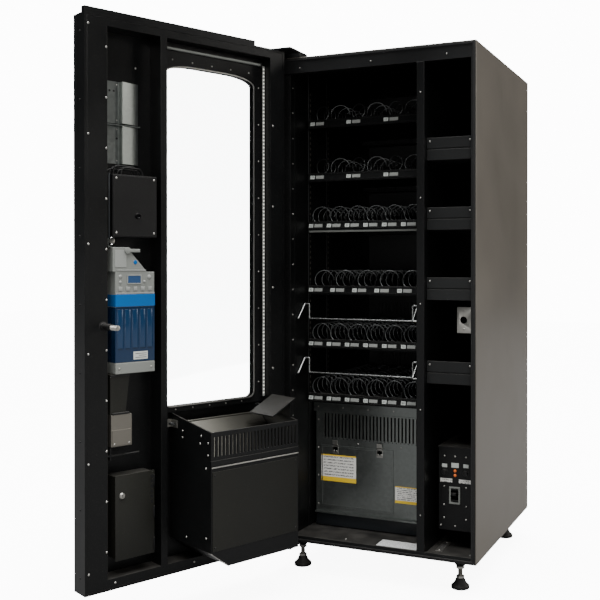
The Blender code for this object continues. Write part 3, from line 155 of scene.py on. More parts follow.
def slab(low, high, rounding=0.0, segments=2):
    """A box between two corners, with its edges rounded."""
    shape = bmesh.new()
    size = Vector(high) - Vector(low)
    middle = (Vector(high) + Vector(low)) / 2
    place = Matrix.Translation(middle) @ Matrix.Diagonal((*size, 1))
    bmesh.ops.create_cube(shape, size=1, matrix=place)
    if rounding:
        round_edges(shape, shape.edges[:], rounding, segments)
    return shape


def round_edges(shape, edges, width, segments=2):
    """Round some edges, and note the new faces as the ones that wear first."""
    made = bmesh.ops.bevel(
        shape, geom=edges, offset=width, offset_type="OFFSET", segments=segments,
        profile=0.5, affect="EDGES", clamp_overlap=True, material=-1,
    )
    worn = shape.faces.layers.float.get("worn") or shape.faces.layers.float.new("worn")
    for face in made["faces"]:
        if face.is_valid:
            face[worn] = 1.0


AXES = {
    "X": Matrix.Rotation(math.pi / 2, 4, "Y"),
    "Y": Matrix.Rotation(-math.pi / 2, 4, "X"),
    "Z": Matrix.Identity(4),
}


def rod(axis, centre, radius, length, end_radius=None, segments=24, rounding=0.0):
    """A round bar or cone that starts at its centre point and runs along an axis."""
    shape = bmesh.new()
    place = Matrix.Translation(centre) @ AXES[axis] @ Matrix.Translation((0, 0, length / 2))
    top = radius if end_radius is None else end_radius
    bmesh.ops.create_cone(
        shape, cap_ends=True, segments=segments, radius1=radius, radius2=top,
        depth=abs(length), matrix=place,
    )
    if rounding:
        rims = [edge for edge in shape.edges if len(edge.link_faces) == 2
                and max(len(face.verts) for face in edge.link_faces) > 4]
        round_edges(shape, rims, rounding)
    return shape


def lathe(profile, centre, axis="Z", steps=48):
    """A line of (radius, height) points turned about an axis."""
    shape = bmesh.new()
    line = [shape.verts.new((radius, 0, height)) for radius, height in profile]
    edges = [shape.edges.new(pair) for pair in zip(line, line[1:])]
    bmesh.ops.spin(
        shape, geom=line + edges, cent=(0, 0, 0), axis=(0, 0, 1), angle=2 * math.pi,
        steps=steps, use_merge=True,
    )
    bmesh.ops.remove_doubles(shape, verts=shape.verts, dist=WELD)
    bmesh.ops.recalc_face_normals(shape, faces=shape.faces)
    bmesh.ops.transform(shape, matrix=Matrix.Translation(centre) @ AXES[axis], verts=shape.verts)
    return shape


def turned(profile, spot, facing, steps=24):
    """A line of (radius, height) points turned about an axis that faces one way from a spot."""
    shape = lathe(profile, (0, 0, 0), steps=steps)
    place = Matrix.Translation(spot) @ FACING[facing]
    bmesh.ops.transform(shape, matrix=place, verts=shape.verts)
    return shape


def extrusion(outline, axis, start, end, rounding=0.0):
    """A flat outline drawn out along an axis."""
    shape = bmesh.new()
    spread = {"X": lambda a, b: (start, a, b), "Y": lambda a, b: (a, start, b),
              "Z": lambda a, b: (a, b, start)}[axis]
    face = shape.faces.new([shape.verts.new(spread(*point)) for point in outline])
    swept = bmesh.ops.extrude_face_region(shape, geom=[face])
    moved = [item for item in swept["geom"] if isinstance(item, bmesh.types.BMVert)]
    step = {"X": (end - start, 0, 0), "Y": (0, end - start, 0), "Z": (0, 0, end - start)}[axis]
    bmesh.ops.translate(shape, vec=step, verts=moved)
    bmesh.ops.recalc_face_normals(shape, faces=shape.faces)
    if rounding:
        round_edges(shape, shape.edges[:], rounding)
    return shape


def ring_frame(outer, width, y0, y1, rounding=0.0):
    """A flat rectangular ring, upright across Y, as round a window."""
    (left, low), (right, high) = outer
    rims = [[(left + lap, low + lap), (right - lap, low + lap),
             (right - lap, high - lap), (left + lap, high - lap)] for lap in (0, width)]
    return band(*rims, y0, y1, rounding)


def opening(glass):
    """Left, bottom, right and top of the opening that a pane covers."""
    return (glass.x0 + GLASS_LAP, glass.z0 + GLASS_LAP,
            glass.x1 - GLASS_LAP, glass.z1 - GLASS_LAP)


def arched(window, grow, steps=6):
    """The window opening's outline with its arched top corners, moved out by a lap."""
    left, low, right, high = window
    arch, corner = (0.110, 0.030), (0.022, 0.022)
    corners = ((right - corner[0], low + corner[1], *corner, -90),
               (right - arch[0], high - arch[1], *arch, 0),
               (left + arch[0], high - arch[1], *arch, 90),
               (left + corner[0], low + corner[1], *corner, 180))
    outline = []
    for x, z, wide, tall, start in corners:
        for step in range(steps + 1):
            turn = math.radians(start + 90 * step / steps)
            outline.append((x + (wide + grow) * math.cos(turn), z + (tall + grow) * math.sin(turn)))
    return outline


def band(outer, inner, y0, y1, rounding=0.0):
    """A flat upright ring between two outlines."""
    shape = bmesh.new()
    rims = []
    for outline in (outer, inner):
        line = [shape.verts.new((x, y0, z)) for x, z in outline]
        rims += [shape.edges.new((a, b)) for a, b in zip(line, line[1:] + line[:1])]
    bmesh.ops.triangle_fill(shape, use_beauty=True, edges=rims)
    swept = bmesh.ops.extrude_face_region(shape, geom=shape.faces[:])
    moved = [item for item in swept["geom"] if isinstance(item, bmesh.types.BMVert)]
    bmesh.ops.translate(shape, vec=(0, y1 - y0, 0), verts=moved)
    bmesh.ops.recalc_face_normals(shape, faces=shape.faces)
    if rounding:
        sharp = [edge for edge in shape.edges if edge.calc_face_angle(0) > math.radians(60)]
        round_edges(shape, sharp, rounding)
    return shape


def pan_head(radius):
    """A pan-head screw with a cross recess, facing +Z, with few faces."""
    profile = [(radius * 0.0001, radius * 0.55), (radius * 0.55, radius * 0.5),
               (radius * 0.9, radius * 0.3), (radius, 0.0)]
    shape = lathe(profile, (0, 0, 0), steps=10)
    arms = slab((-radius * 0.5, -radius * 0.11, radius * 0.5),
                (radius * 0.5, radius * 0.11, radius * 0.6))
    return merged([shape, arms, turned_copy(arms, Matrix.Rotation(math.pi / 2, 4, "Z"))])


def turned_copy(shape, matrix):
    """A moved or turned copy of a shape, leaving the first as it was."""
    copy = shape.copy()
    bmesh.ops.transform(copy, matrix=matrix, verts=copy.verts)
    if matrix.determinant() < 0:
        bmesh.ops.reverse_faces(copy, faces=copy.faces)
    return copy


def merged(shapes):
    """Several shapes in one mesh."""
    whole = bmesh.new()
    whole.faces.layers.float.new("worn")
    for shape in shapes:
        mesh = bpy.data.meshes.new("piece")
        shape.to_mesh(mesh)
        shape.free()
        whole.from_mesh(mesh)
        bpy.data.meshes.remove(mesh)
    return whole


FACING = {
    "+X": Matrix.Rotation(math.pi / 2, 4, "Y"),
    "-X": Matrix.Rotation(-math.pi / 2, 4, "Y"),
    "+Y": Matrix.Rotation(-math.pi / 2, 4, "X"),
    "-Y": Matrix.Rotation(math.pi / 2, 4, "X"),
    "+Z": Matrix.Identity(4),
    "-Z": Matrix.Rotation(math.pi, 4, "X"),
}


def screws(spots, facing, radius):
    """Screw heads at several spots, all facing the same way."""
    head = pan_head(radius)
    heads = []
    for index, spot in enumerate(spots):
        turn = Matrix.Rotation(0.7 * index, 4, "Z")
        heads.append(turned_copy(head, Matrix.Translation(spot) @ FACING[facing] @ turn))
    head.free()
    return merged(heads)


def bent_wire(points, radius, bend, sides=10):
    """A round wire along a line of points, each corner bent to a radius."""
    path = [Vector(points[0])]
    for before, corner, after in zip(points, points[1:], points[2:]):
        corner = Vector(corner)
        start = corner + (Vector(before) - corner).normalized() * bend
        end = corner + (Vector(after) - corner).normalized() * bend
        for step in range(5):
            share = step / 4
            path.append(start.lerp(corner, share).lerp(corner.lerp(end, share), share))
    path.append(Vector(points[-1]))
    curve = bpy.data.curves.new("wire", "CURVE")
    curve.dimensions = "3D"
    curve.bevel_depth = radius
    curve.bevel_resolution = sides // 4
    curve.use_fill_caps = True
    line = curve.splines.new("POLY")
    line.points.add(len(path) - 1)
    for node, point in zip(line.points, path):
        node.co = (*point, 1)
    holder = bpy.data.objects.new("wire", curve)
    shape = bmesh.new()
    shape.from_mesh(bpy.data.meshes.new_from_object(holder))
    bpy.data.objects.remove(holder)
    bmesh.ops.remove_doubles(shape, verts=shape.verts, dist=WELD / 10)
    bmesh.ops.recalc_face_normals(shape, faces=shape.faces)
    return shape


def helix(centre, start, end, diameter, wire, pitch, hand, steps):
    """A spring of round wire along Y, with a straight arm to its shaft at the far end."""
    radius = (diameter - wire) / 2
    turns = (end - start) / pitch
    shape = bmesh.new()
    across = Matrix.Translation((0, start, -radius)) @ Matrix.Rotation(math.pi / 2, 4, "Y")
    bmesh.ops.create_circle(shape, segments=8, radius=wire / 2, matrix=across)
    count = round(turns * steps)
    bmesh.ops.spin(
        shape, geom=shape.verts[:] + shape.edges[:], cent=(0, 0, 0), axis=(0, 1, 0),
        dvec=(0, (end - start) / count, 0), angle=hand * 2 * math.pi * turns, steps=count,
        use_duplicate=False,
    )
    bmesh.ops.holes_fill(shape, edges=[edge for edge in shape.edges if edge.is_boundary])
    bmesh.ops.recalc_face_normals(shape, faces=shape.faces)
    angle = hand * 2 * math.pi * turns
    tip = Vector((-radius * math.sin(angle), end, -radius * math.cos(angle)))
    arm = bent_wire([tip, (0, end, 0), (0, end + 0.012, 0)], wire / 2, wire * 0.8, 8)
    spring = merged([shape, arm])
    bmesh.ops.translate(spring, vec=(centre[0], 0, centre[1]), verts=spring.verts)
    return spring


def digits(text, height, place):
    """Raised numbers, made a mesh and placed."""
    curve = bpy.data.curves.new("digits", "FONT")
    curve.body = text
    curve.size = height
    curve.align_x = "CENTER"
    curve.align_y = "CENTER"
    curve.extrude = 0.0001
    curve.resolution_u = 3
    holder = bpy.data.objects.new("digits", curve)
    shape = bmesh.new()
    shape.from_mesh(bpy.data.meshes.new_from_object(holder))
    bpy.data.objects.remove(holder)
    bmesh.ops.remove_doubles(shape, verts=shape.verts, dist=WELD / 10)
    bmesh.ops.transform(shape, matrix=place, verts=shape.verts)
    return shape


# ---------------------------------------------------------------- finishes


def add(tree, kind, inputs=None, **settings):
    """A node with its settings and input values, or links, in one step."""
    node = tree.nodes.new(kind)
    for name, value in settings.items():
        setattr(node, name, value)
    for name, value in (inputs or {}).items():
        if isinstance(value, bpy.types.NodeSocket):
            tree.links.new(value, node.inputs[name])
        else:
            node.inputs[name].default_value = value
    return node


def mix(tree, factor, first, second):
    """A blend of two colours."""
    node = tree.nodes.new("ShaderNodeMix")
    node.data_type = "RGBA"
    for socket, value in ((0, factor), (6, first), (7, second)):
        if isinstance(value, bpy.types.NodeSocket):
            tree.links.new(value, node.inputs[socket])
        else:
            node.inputs[socket].default_value = value if socket == 0 else (*value[:3], 1)
    return node.outputs[2]


def spread(tree, value, low, high, start, end):
    """A value moved from one range to another, and held inside it."""
    return add(
        tree, "ShaderNodeMapRange",
        {"Value": value, "From Min": low, "From Max": high, "To Min": start, "To Max": end},
    ).outputs["Result"]


def maths(tree, operation, first, second):
    """Two values put together."""
    return add(tree, "ShaderNodeMath", {0: first, 1: second}, operation=operation).outputs[0]


def new_group(name, inputs, outputs):
    """An empty node group with named number sockets."""
    group = bpy.data.node_groups.new(name, "ShaderNodeTree")
    for label, value in inputs.items():
        socket = group.interface.new_socket(label, in_out="INPUT", socket_type="NodeSocketFloat")
        socket.default_value = value
    for label in outputs:
        group.interface.new_socket(label, in_out="OUTPUT", socket_type="NodeSocketFloat")
    return group, group.nodes.new("NodeGroupInput"), group.nodes.new("NodeGroupOutput")


def paint_grain_group():
    """Fine orange-peel height and a slow cloudiness, as powder coat has."""
    group, given, out = new_group("Paint_Grain", {"Scale": 900.0}, ["Height", "Cloud"])
    where = group.nodes.new("ShaderNodeTexCoord").outputs["Object"]
    fine = add(group, "ShaderNodeTexNoise",
               {"Vector": where, "Scale": given.outputs["Scale"], "Detail": 2.0})
    slow = add(group, "ShaderNodeTexNoise", {"Vector": where, "Scale": 2.6, "Detail": 6.0})
    group.links.new(fine.outputs["Fac"], out.inputs["Height"])
    group.links.new(spread(group, slow.outputs["Fac"], 0.35, 0.65, 0, 1), out.inputs["Cloud"])
    return group


def settled_dust_group():
    """More dust on faces that look up, broken up by noise."""
    group, given, out = new_group("Settled_Dust", {"Amount": 0.3}, ["Mask"])
    normal = add(group, "ShaderNodeSeparateXYZ",
                 {0: group.nodes.new("ShaderNodeNewGeometry").outputs["Normal"]})
    up = spread(group, normal.outputs["Z"], 0.2, 0.95, 0, 1)
    where = group.nodes.new("ShaderNodeTexCoord").outputs["Object"]
    patches = add(group, "ShaderNodeTexNoise", {"Vector": where, "Scale": 14.0, "Detail": 8.0})
    share = spread(group, patches.outputs["Fac"], 0.3, 0.7, 0.25, 1)
    specks = add(group, "ShaderNodeTexNoise", {"Vector": where, "Scale": 420.0, "Detail": 1.0})
    speck = spread(group, specks.outputs["Fac"], 0.66, 0.74, 0, 0.6)
    total = maths(group, "ADD", maths(group, "MULTIPLY", up, share), speck)
    group.links.new(maths(group, "MULTIPLY", total, given.outputs["Amount"]), out.inputs["Mask"])
    return group


def edge_wear_group():
    """Rubbed spots along the rounded edges of a piece."""
    group, given, out = new_group("Edge_Wear", {"Amount": 0.5}, ["Mask"])
    worn = add(group, "ShaderNodeAttribute", attribute_name="worn").outputs["Fac"]
    where = group.nodes.new("ShaderNodeTexCoord").outputs["Object"]
    patches = add(group, "ShaderNodeTexNoise", {"Vector": where, "Scale": 38.0, "Detail": 7.0})
    share = spread(group, patches.outputs["Fac"], 0.5, 0.66, 0, 1)
    rubbed = maths(group, "MULTIPLY", worn, share)
    group.links.new(maths(group, "MULTIPLY", rubbed, given.outputs["Amount"]), out.inputs["Mask"])
    return group


def zinc_spangle_group():
    """The crystal flakes of hot-dip galvanised sheet."""
    group, given, out = new_group("Zinc_Spangle", {"Scale": 90.0}, ["Shade", "Height"])
    where = group.nodes.new("ShaderNodeTexCoord").outputs["Object"]
    flakes = add(group, "ShaderNodeTexVoronoi",
                 {"Vector": where, "Scale": given.outputs["Scale"], "Randomness": 1.0})
    parts = add(group, "ShaderNodeSeparateColor", {0: flakes.outputs["Color"]})
    streaks = add(group, "ShaderNodeTexNoise",
                  {"Vector": where, "Scale": 7.0, "Detail": 5.0, "Distortion": 0.6})
    shade = maths(group, "ADD", maths(group, "MULTIPLY", parts.outputs["Red"], 0.55),
                  maths(group, "MULTIPLY", streaks.outputs["Fac"], 0.45))
    group.links.new(shade, out.inputs["Shade"])
    group.links.new(parts.outputs["Green"], out.inputs["Height"])
    return group


GROUPS = {}


def use_group(tree, maker, **values):
    """A shared effect placed in a material with its own values."""
    if maker.__name__ not in GROUPS:
        GROUPS[maker.__name__] = maker()
    node = tree.nodes.new("ShaderNodeGroup")
    node.node_tree = GROUPS[maker.__name__]
    for name, value in values.items():
        node.inputs[name].default_value = value
    return node.outputs


def blank(name, **values):
    """A new material and its shader, with constant values set on the shader's own sockets."""
    material = bpy.data.materials.new(name)
    material.use_nodes = True
    shader = material.node_tree.nodes["Principled BSDF"]
    for label, value in values.items():
        shader.inputs[label.replace("_", " ")].default_value = value
    return material, material.node_tree, shader


def bump(tree, shader, height, strength, depth):
    """Surface relief from a height."""
    node = add(tree, "ShaderNodeBump",
               {"Height": height, "Strength": strength, "Distance": depth})
    tree.links.new(node.outputs["Normal"], shader.inputs["Normal"])


def painted(name, colour, gloss=0.42, grain=0.25, dust=0.12, wear=0.5, light=1.9, scale=900.0):
    """Paint or powder coat: cloudy colour and gloss, fine grain, dust on top, rubbed edges."""
    material, tree, shader = blank(name, Specular_IOR_Level=0.28)
    peel = use_group(tree, paint_grain_group, Scale=scale)
    dusty = use_group(tree, settled_dust_group, Amount=dust)["Mask"]
    rubbed = use_group(tree, edge_wear_group, Amount=wear)["Mask"]
    darker = [c * 0.82 for c in colour]
    lighter = [min(1, c * 1.18) for c in colour]
    base = mix(tree, peel["Cloud"], darker, lighter)
    base = mix(tree, rubbed, base, [min(1, c * light + 0.012) for c in colour])
    base = mix(tree, dusty, base, DUST)
    tree.links.new(base, shader.inputs["Base Color"])
    rough = spread(tree, peel["Cloud"], 0, 1, gloss - 0.05, gloss + 0.07)
    rough = maths(tree, "SUBTRACT", rough, maths(tree, "MULTIPLY", rubbed, 0.12))
    rough = maths(tree, "ADD", rough, maths(tree, "MULTIPLY", dusty, 0.5))
    tree.links.new(rough, shader.inputs["Roughness"])
    bump(tree, shader, peel["Height"], grain, 0.0002)
    return material


def metal(name, colour, gloss=0.3, spangle=0.0, streak=0.0, scale=90.0, dust=0.05):
    """Bare or zinc-coated metal, with flakes or drawn streaks."""
    material, tree, shader = blank(name, Metallic=0.92)
    flakes = use_group(tree, zinc_spangle_group, Scale=scale)
    dusty = use_group(tree, settled_dust_group, Amount=dust)["Mask"]
    shade = spread(tree, flakes["Shade"], 0.2, 0.8, 1 - spangle, 1 + spangle * 0.6)
    drawn = add(tree, "ShaderNodeMapping",
                {"Vector": tree.nodes.new("ShaderNodeTexCoord").outputs["Object"],
                 "Scale": (900.0, 900.0, 12.0)})
    lines = add(tree, "ShaderNodeTexNoise",
                {"Vector": drawn.outputs["Vector"], "Scale": 1.0, "Detail": 2.0}).outputs["Fac"]
    rough = spread(tree, flakes["Shade"], 0.2, 0.8, gloss - 0.02 * bool(spangle), gloss + 0.04)
    rough = maths(tree, "ADD", rough, maths(tree, "MULTIPLY", lines, streak * 0.2))
    rough = maths(tree, "ADD", rough, maths(tree, "MULTIPLY", dusty, 0.4))
    tint = add(tree, "ShaderNodeCombineColor",
               {"Red": maths(tree, "MULTIPLY", shade, colour[0]),
                "Green": maths(tree, "MULTIPLY", shade, colour[1]),
                "Blue": maths(tree, "MULTIPLY", shade, colour[2])}).outputs["Color"]
    tree.links.new(mix(tree, dusty, tint, (0.3, 0.29, 0.26)), shader.inputs["Base Color"])
    tree.links.new(rough, shader.inputs["Roughness"])
    height = maths(tree, "ADD", maths(tree, "MULTIPLY", flakes["Height"], spangle),
                   maths(tree, "MULTIPLY", lines, streak))
    bump(tree, shader, height, 0.15, 0.0002)
    return material


def moulded(name, colour, gloss=0.4, grain=0.2, dust=0.08, coat=0.0, clear=0.0, scale=1400.0):
    """Moulded plastic or rubber with a fine grain; clear lets light through."""
    material, tree, shader = blank(name, Coat_Weight=coat, Transmission_Weight=clear,
                                   IOR=1.49, Coat_Roughness=0.1, Specular_IOR_Level=0.35)
    peel = use_group(tree, paint_grain_group, Scale=scale)
    dusty = use_group(tree, settled_dust_group, Amount=dust)["Mask"]
    base = mix(tree, peel["Cloud"], [c * 0.88 for c in colour], [min(1, c * 1.1) for c in colour])
    tree.links.new(mix(tree, dusty, base, (0.4, 0.38, 0.35)), shader.inputs["Base Color"])
    rough = spread(tree, peel["Cloud"], 0, 1, gloss - 0.04, gloss + 0.05)
    tree.links.new(rough, shader.inputs["Roughness"])
    bump(tree, shader, peel["Height"], grain, 0.0001)
    return material


def glowing(name, colour, strength, gloss=0.35):
    """A lamp diffuser or a lit sign: a pale surface that gives off a little light."""
    material, tree, shader = blank(name, Emission_Strength=strength)
    peel = use_group(tree, paint_grain_group, Scale=500.0)
    base = mix(tree, peel["Cloud"], [c * 0.94 for c in colour], colour)
    tree.links.new(base, shader.inputs["Base Color"])
    tree.links.new(base, shader.inputs["Emission Color"])
    tree.links.new(spread(tree, peel["Cloud"], 0, 1, gloss, gloss + 0.1),
                   shader.inputs["Roughness"])
    return material


def pane(name):
    """Clear insulated glass with the faintest smears."""
    material, tree, shader = blank(name, Transmission_Weight=1.0, IOR=1.45, Metallic=0.0)
    shader.inputs["Base Color"].default_value = (0.97, 0.99, 0.985, 1)
    peel = use_group(tree, paint_grain_group, Scale=30.0)
    tree.links.new(spread(tree, peel["Cloud"], 0, 1, 0.0, 0.035), shader.inputs["Roughness"])
    return material


def case_paint(name, outside, inside):
    """The welded case: warm grey paint outside and satin black inside."""
    material, tree, shader = blank(name, Specular_IOR_Level=0.5)
    where = tree.nodes.new("ShaderNodeTexCoord").outputs["Object"]
    low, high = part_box("cabinet_shell")
    margin = 0.0022
    at = add(tree, "ShaderNodeSeparateXYZ", {0: where}).outputs
    masks = [
        maths(tree, "LESS_THAN", at["X"], low.x + margin),
        maths(tree, "GREATER_THAN", at["X"], high.x - margin),
        maths(tree, "GREATER_THAN", at["Y"], high.y - margin),
        maths(tree, "GREATER_THAN", at["Z"], high.z - margin),
    ]
    outer = masks[0]
    for mask in masks[1:]:
        outer = maths(tree, "MAXIMUM", outer, mask)
    peel = use_group(tree, paint_grain_group, Scale=900.0)
    dusty = use_group(tree, settled_dust_group, Amount=0.1)["Mask"]
    rubbed = use_group(tree, edge_wear_group, Amount=0.35)["Mask"]
    shell = mix(tree, peel["Cloud"], [c * 0.92 for c in outside], [c * 1.07 for c in outside])
    lining = mix(tree, peel["Cloud"], [c * 0.8 for c in inside], [c * 1.2 for c in inside])
    base = mix(tree, outer, lining, shell)
    base = mix(tree, rubbed, base, [c * 1.6 for c in outside])
    tree.links.new(mix(tree, dusty, base, DUST), shader.inputs["Base Color"])
    rough = spread(tree, peel["Cloud"], 0, 1, 0.36, 0.44)
    tree.links.new(rough, shader.inputs["Roughness"])
    bump(tree, shader, peel["Height"], 0.22, 0.0002)
    return material


def printed(name, low, high, rows, band=None, across="X", paper=(0.72, 0.71, 0.67)):
    """A sticker with plain grey print lines and, where asked, a yellow band along its foot."""
    material, tree, shader = blank(name, Coat_Weight=0.3, Coat_Roughness=0.2)
    where = tree.nodes.new("ShaderNodeTexCoord").outputs["Object"]
    at = add(tree, "ShaderNodeSeparateXYZ", {0: where}).outputs
    up = spread(tree, at["Z"], low[1], high[1], 0, 1)
    along = spread(tree, at[across], low[0], high[0], 0, 1)
    line = add(tree, "ShaderNodeMath", {0: maths(tree, "MULTIPLY", up, rows)}, operation="FRACT")
    stripe = maths(tree, "LESS_THAN", line.outputs[0], 0.42)
    words = add(tree, "ShaderNodeTexNoise", {"Vector": where, "Scale": 260.0, "Detail": 0.0})
    print_mask = maths(tree, "MULTIPLY", stripe,
                       maths(tree, "GREATER_THAN", words.outputs["Fac"], 0.46))
    edge = maths(tree, "MULTIPLY", maths(tree, "GREATER_THAN", along, 0.07),
                 maths(tree, "LESS_THAN", along, 0.93))
    base = mix(tree, maths(tree, "MULTIPLY", print_mask, edge), paper, PRINT_GREY)
    if band:
        base = mix(tree, maths(tree, "LESS_THAN", up, band), base, BAND_YELLOW)
        base = mix(tree, maths(tree, "GREATER_THAN", up, 1 - band * 0.3), base, BAND_YELLOW)
    tree.links.new(base, shader.inputs["Base Color"])
    rough = spread(tree, words.outputs["Fac"], 0.2, 0.8, 0.42, 0.55)
    tree.links.new(rough, shader.inputs["Roughness"])
    return material


FINISHES = {}


def finish(name):
    """The shared material of that name, made the first time it is asked for."""
    if name in FINISHES:
        return FINISHES[name]
    colours = bpy.context.scene.vending_colours
    powder = tuple(colours.powder)
    makers = {
        "powder": lambda: painted(name, powder, 0.40),
        "powder_liner": lambda: painted(name, [c * 0.8 for c in powder], 0.46, grain=0.2),
        "door_powder": lambda: painted(name, [c * 0.9 for c in powder], 0.36, dust=0.1),
        "bin_powder": lambda: painted(name, [c * 1.6 for c in powder], 0.36, dust=0.10),
        "cover_grey": lambda: painted(name, (0.0105, 0.0105, 0.0085), 0.38, dust=0.08),
        "shelf_grey": lambda: painted(name, (0.0085, 0.009, 0.009), 0.42),
        "case": lambda: case_paint(name, tuple(colours.case), powder),
        "zinc_sheet": lambda: metal(name, tuple(colours.zinc), 0.32, spangle=0.09),
        "zinc_plate": lambda: metal(name, (0.38, 0.37, 0.34), 0.30, streak=0.6),
        "bare_steel": lambda: metal(name, (0.24, 0.225, 0.195), 0.32, streak=0.8, dust=0.15),
        "flap_steel": lambda: metal(name, (0.085, 0.082, 0.070), 0.34, streak=0.8, dust=0.05),
        "spring_steel": lambda: metal(name, (0.075, 0.078, 0.078), 0.30, streak=0.3),
        "guard_wire": lambda: metal(name, (0.42, 0.43, 0.42), 0.24, streak=0.2),
        "lamp_chip": lambda: glowing(name, (0.95, 0.93, 0.84), 0.5),
        # Painted shade: a near-black gloss for the plates that fill the cash box door's square holes.
        "painted_hole_shade": lambda: moulded(name, (0.0015, 0.0015, 0.0015), 0.8, 0.02, dust=0.0),
        "bright_screw": lambda: metal(name, (0.46, 0.45, 0.42), 0.26, streak=0.2),
        "pan_grey": lambda: painted(name, (0.012, 0.014, 0.016), 0.4),
        "black_plastic": lambda: moulded(name, (0.0035, 0.0035, 0.0036), 0.42),
        "gloss_black": lambda: moulded(name, (0.003, 0.003, 0.0035), 0.12, 0.03, coat=0.4),
        "grey_plastic": lambda: moulded(name, (0.20, 0.21, 0.195), 0.42),
        "pale_plastic": lambda: moulded(name, (0.27, 0.28, 0.265), 0.4),
        "label_white": lambda: moulded(name, (0.52, 0.55, 0.52), 0.5),
        # Near-black, for printed numbers and lines and for painted shade: the plates in slots, holes and dimples.
        "dark_mark": lambda: moulded(name, (0.02, 0.02, 0.02), 0.6),
        "blue": lambda: moulded(name, tuple(colours.blue), 0.22, 0.05, coat=0.5),
        "dark_blue": lambda: moulded(name, (0.004, 0.020, 0.055), 0.14, 0.04, coat=0.4),
        "tube_blue": lambda: moulded(name, (0.005, 0.028, 0.075), 0.16, 0.04, coat=0.4),
        "orange": lambda: glowing(name, (0.80, 0.16, 0.02), 0.2),
        "diffuser": lambda: glowing(name, (0.82, 0.81, 0.74), 0.25),
        "display": lambda: moulded(name, (0.03, 0.07, 0.16), 0.12, 0.02, coat=0.5),
        "rubber": lambda: moulded(name, (0.004, 0.004, 0.004), 0.62, 0.4, dust=0.1, scale=700.0),
        "glass": lambda: pane(name),
        "brass": lambda: metal(name, (0.55, 0.40, 0.16), 0.28, streak=0.3),
    }
    FINISHES[name] = makers[name]()
    return FINISHES[name]


# ---------------------------------------------------------------- placing


def piece(name, shape, body, look, place=CABINET, smooth=None, slot=None, instead_of=()):
    """A finished piece: its shape put in place, given its finish and tied to its body."""
    bmesh.ops.transform(shape, matrix=place, verts=shape.verts)
    mesh = bpy.data.meshes.new(name)
    shape.to_mesh(mesh)
    shape.free()
    made = bpy.data.objects.new(name, mesh)
    bpy.context.scene.collection.objects.link(made)
    mesh.materials.clear()
    mesh.materials.append(look if isinstance(look, bpy.types.Material) else finish(look))
    if smooth is not None:
        mesh.shade_smooth()
        mesh.set_sharp_from_angle(angle=math.radians(smooth))
    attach(made, body)
    if instead_of:
        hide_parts(*instead_of)
    return made


def body_of_node(node):
    """The moving body that a solid belongs to."""
    return next(name for name, members in frame["record"]["behaviour"]["bodies"].items()
                if node in members)


def eased(node, look, width=None, smooth=None, segments=2):
    """A solid's own shape with its edges rounded, in place of the solid."""
    sizes = bpy.context.scene.vending_sizes
    shape = bmesh.new()
    shape.from_mesh(frame["nodes"][node].data)
    bmesh.ops.remove_doubles(shape, verts=shape.verts, dist=WELD)
    bmesh.ops.dissolve_limit(
        shape, angle_limit=math.radians(1), use_dissolve_boundaries=False,
        verts=shape.verts, edges=shape.edges,
    )
    corners = [edge for edge in shape.edges
               if len(edge.link_faces) == 2 and edge.calc_face_angle(0) > math.radians(28)]
    round_edges(shape, corners, width or sizes.edge, segments)
    slot = next(part["material_slot"] for part in frame["record"]["subparts"]
                if part["node"] == node)
    return piece(f"{node}_finished", shape, body_of_node(node), look, Matrix.Identity(4),
                 smooth, slot, [node])


def spaced(low, high, count):
    """Evenly spaced numbers, both ends included."""
    return [low + (high - low) * step / (count - 1) for step in range(count)]


class Build:
    """What these operators share: where their pieces belong and short ways to make them."""

    bl_options = {"REGISTER", "UNDO"}
    place = CABINET
    body = "cabinet"

    def execute(self, context):
        self.build(context.scene.vending_sizes)
        return {"FINISHED"}

    def extent(self, node):
        """A solid's corners in the frame of these pieces."""
        return Extent(node, self.place)

    def add(self, name, shape, look, body=None, **more):
        """A finished piece on this operator's own body unless another is named."""
        return piece(name, shape, body or self.body, look, self.place, **more)

    def fixings(self, name, spots, facing, radius, look="bright_screw"):
        """Screw or rivet heads as one piece."""
        self.add(name, screws(spots, facing, radius), look, smooth=SCREW_ROUND)


class DoorBuild(Build):
    """The same for pieces on the door, placed as if it were shut."""

    place = DOOR
    body = "door"


# ---------------------------------------------------------------- cabinet


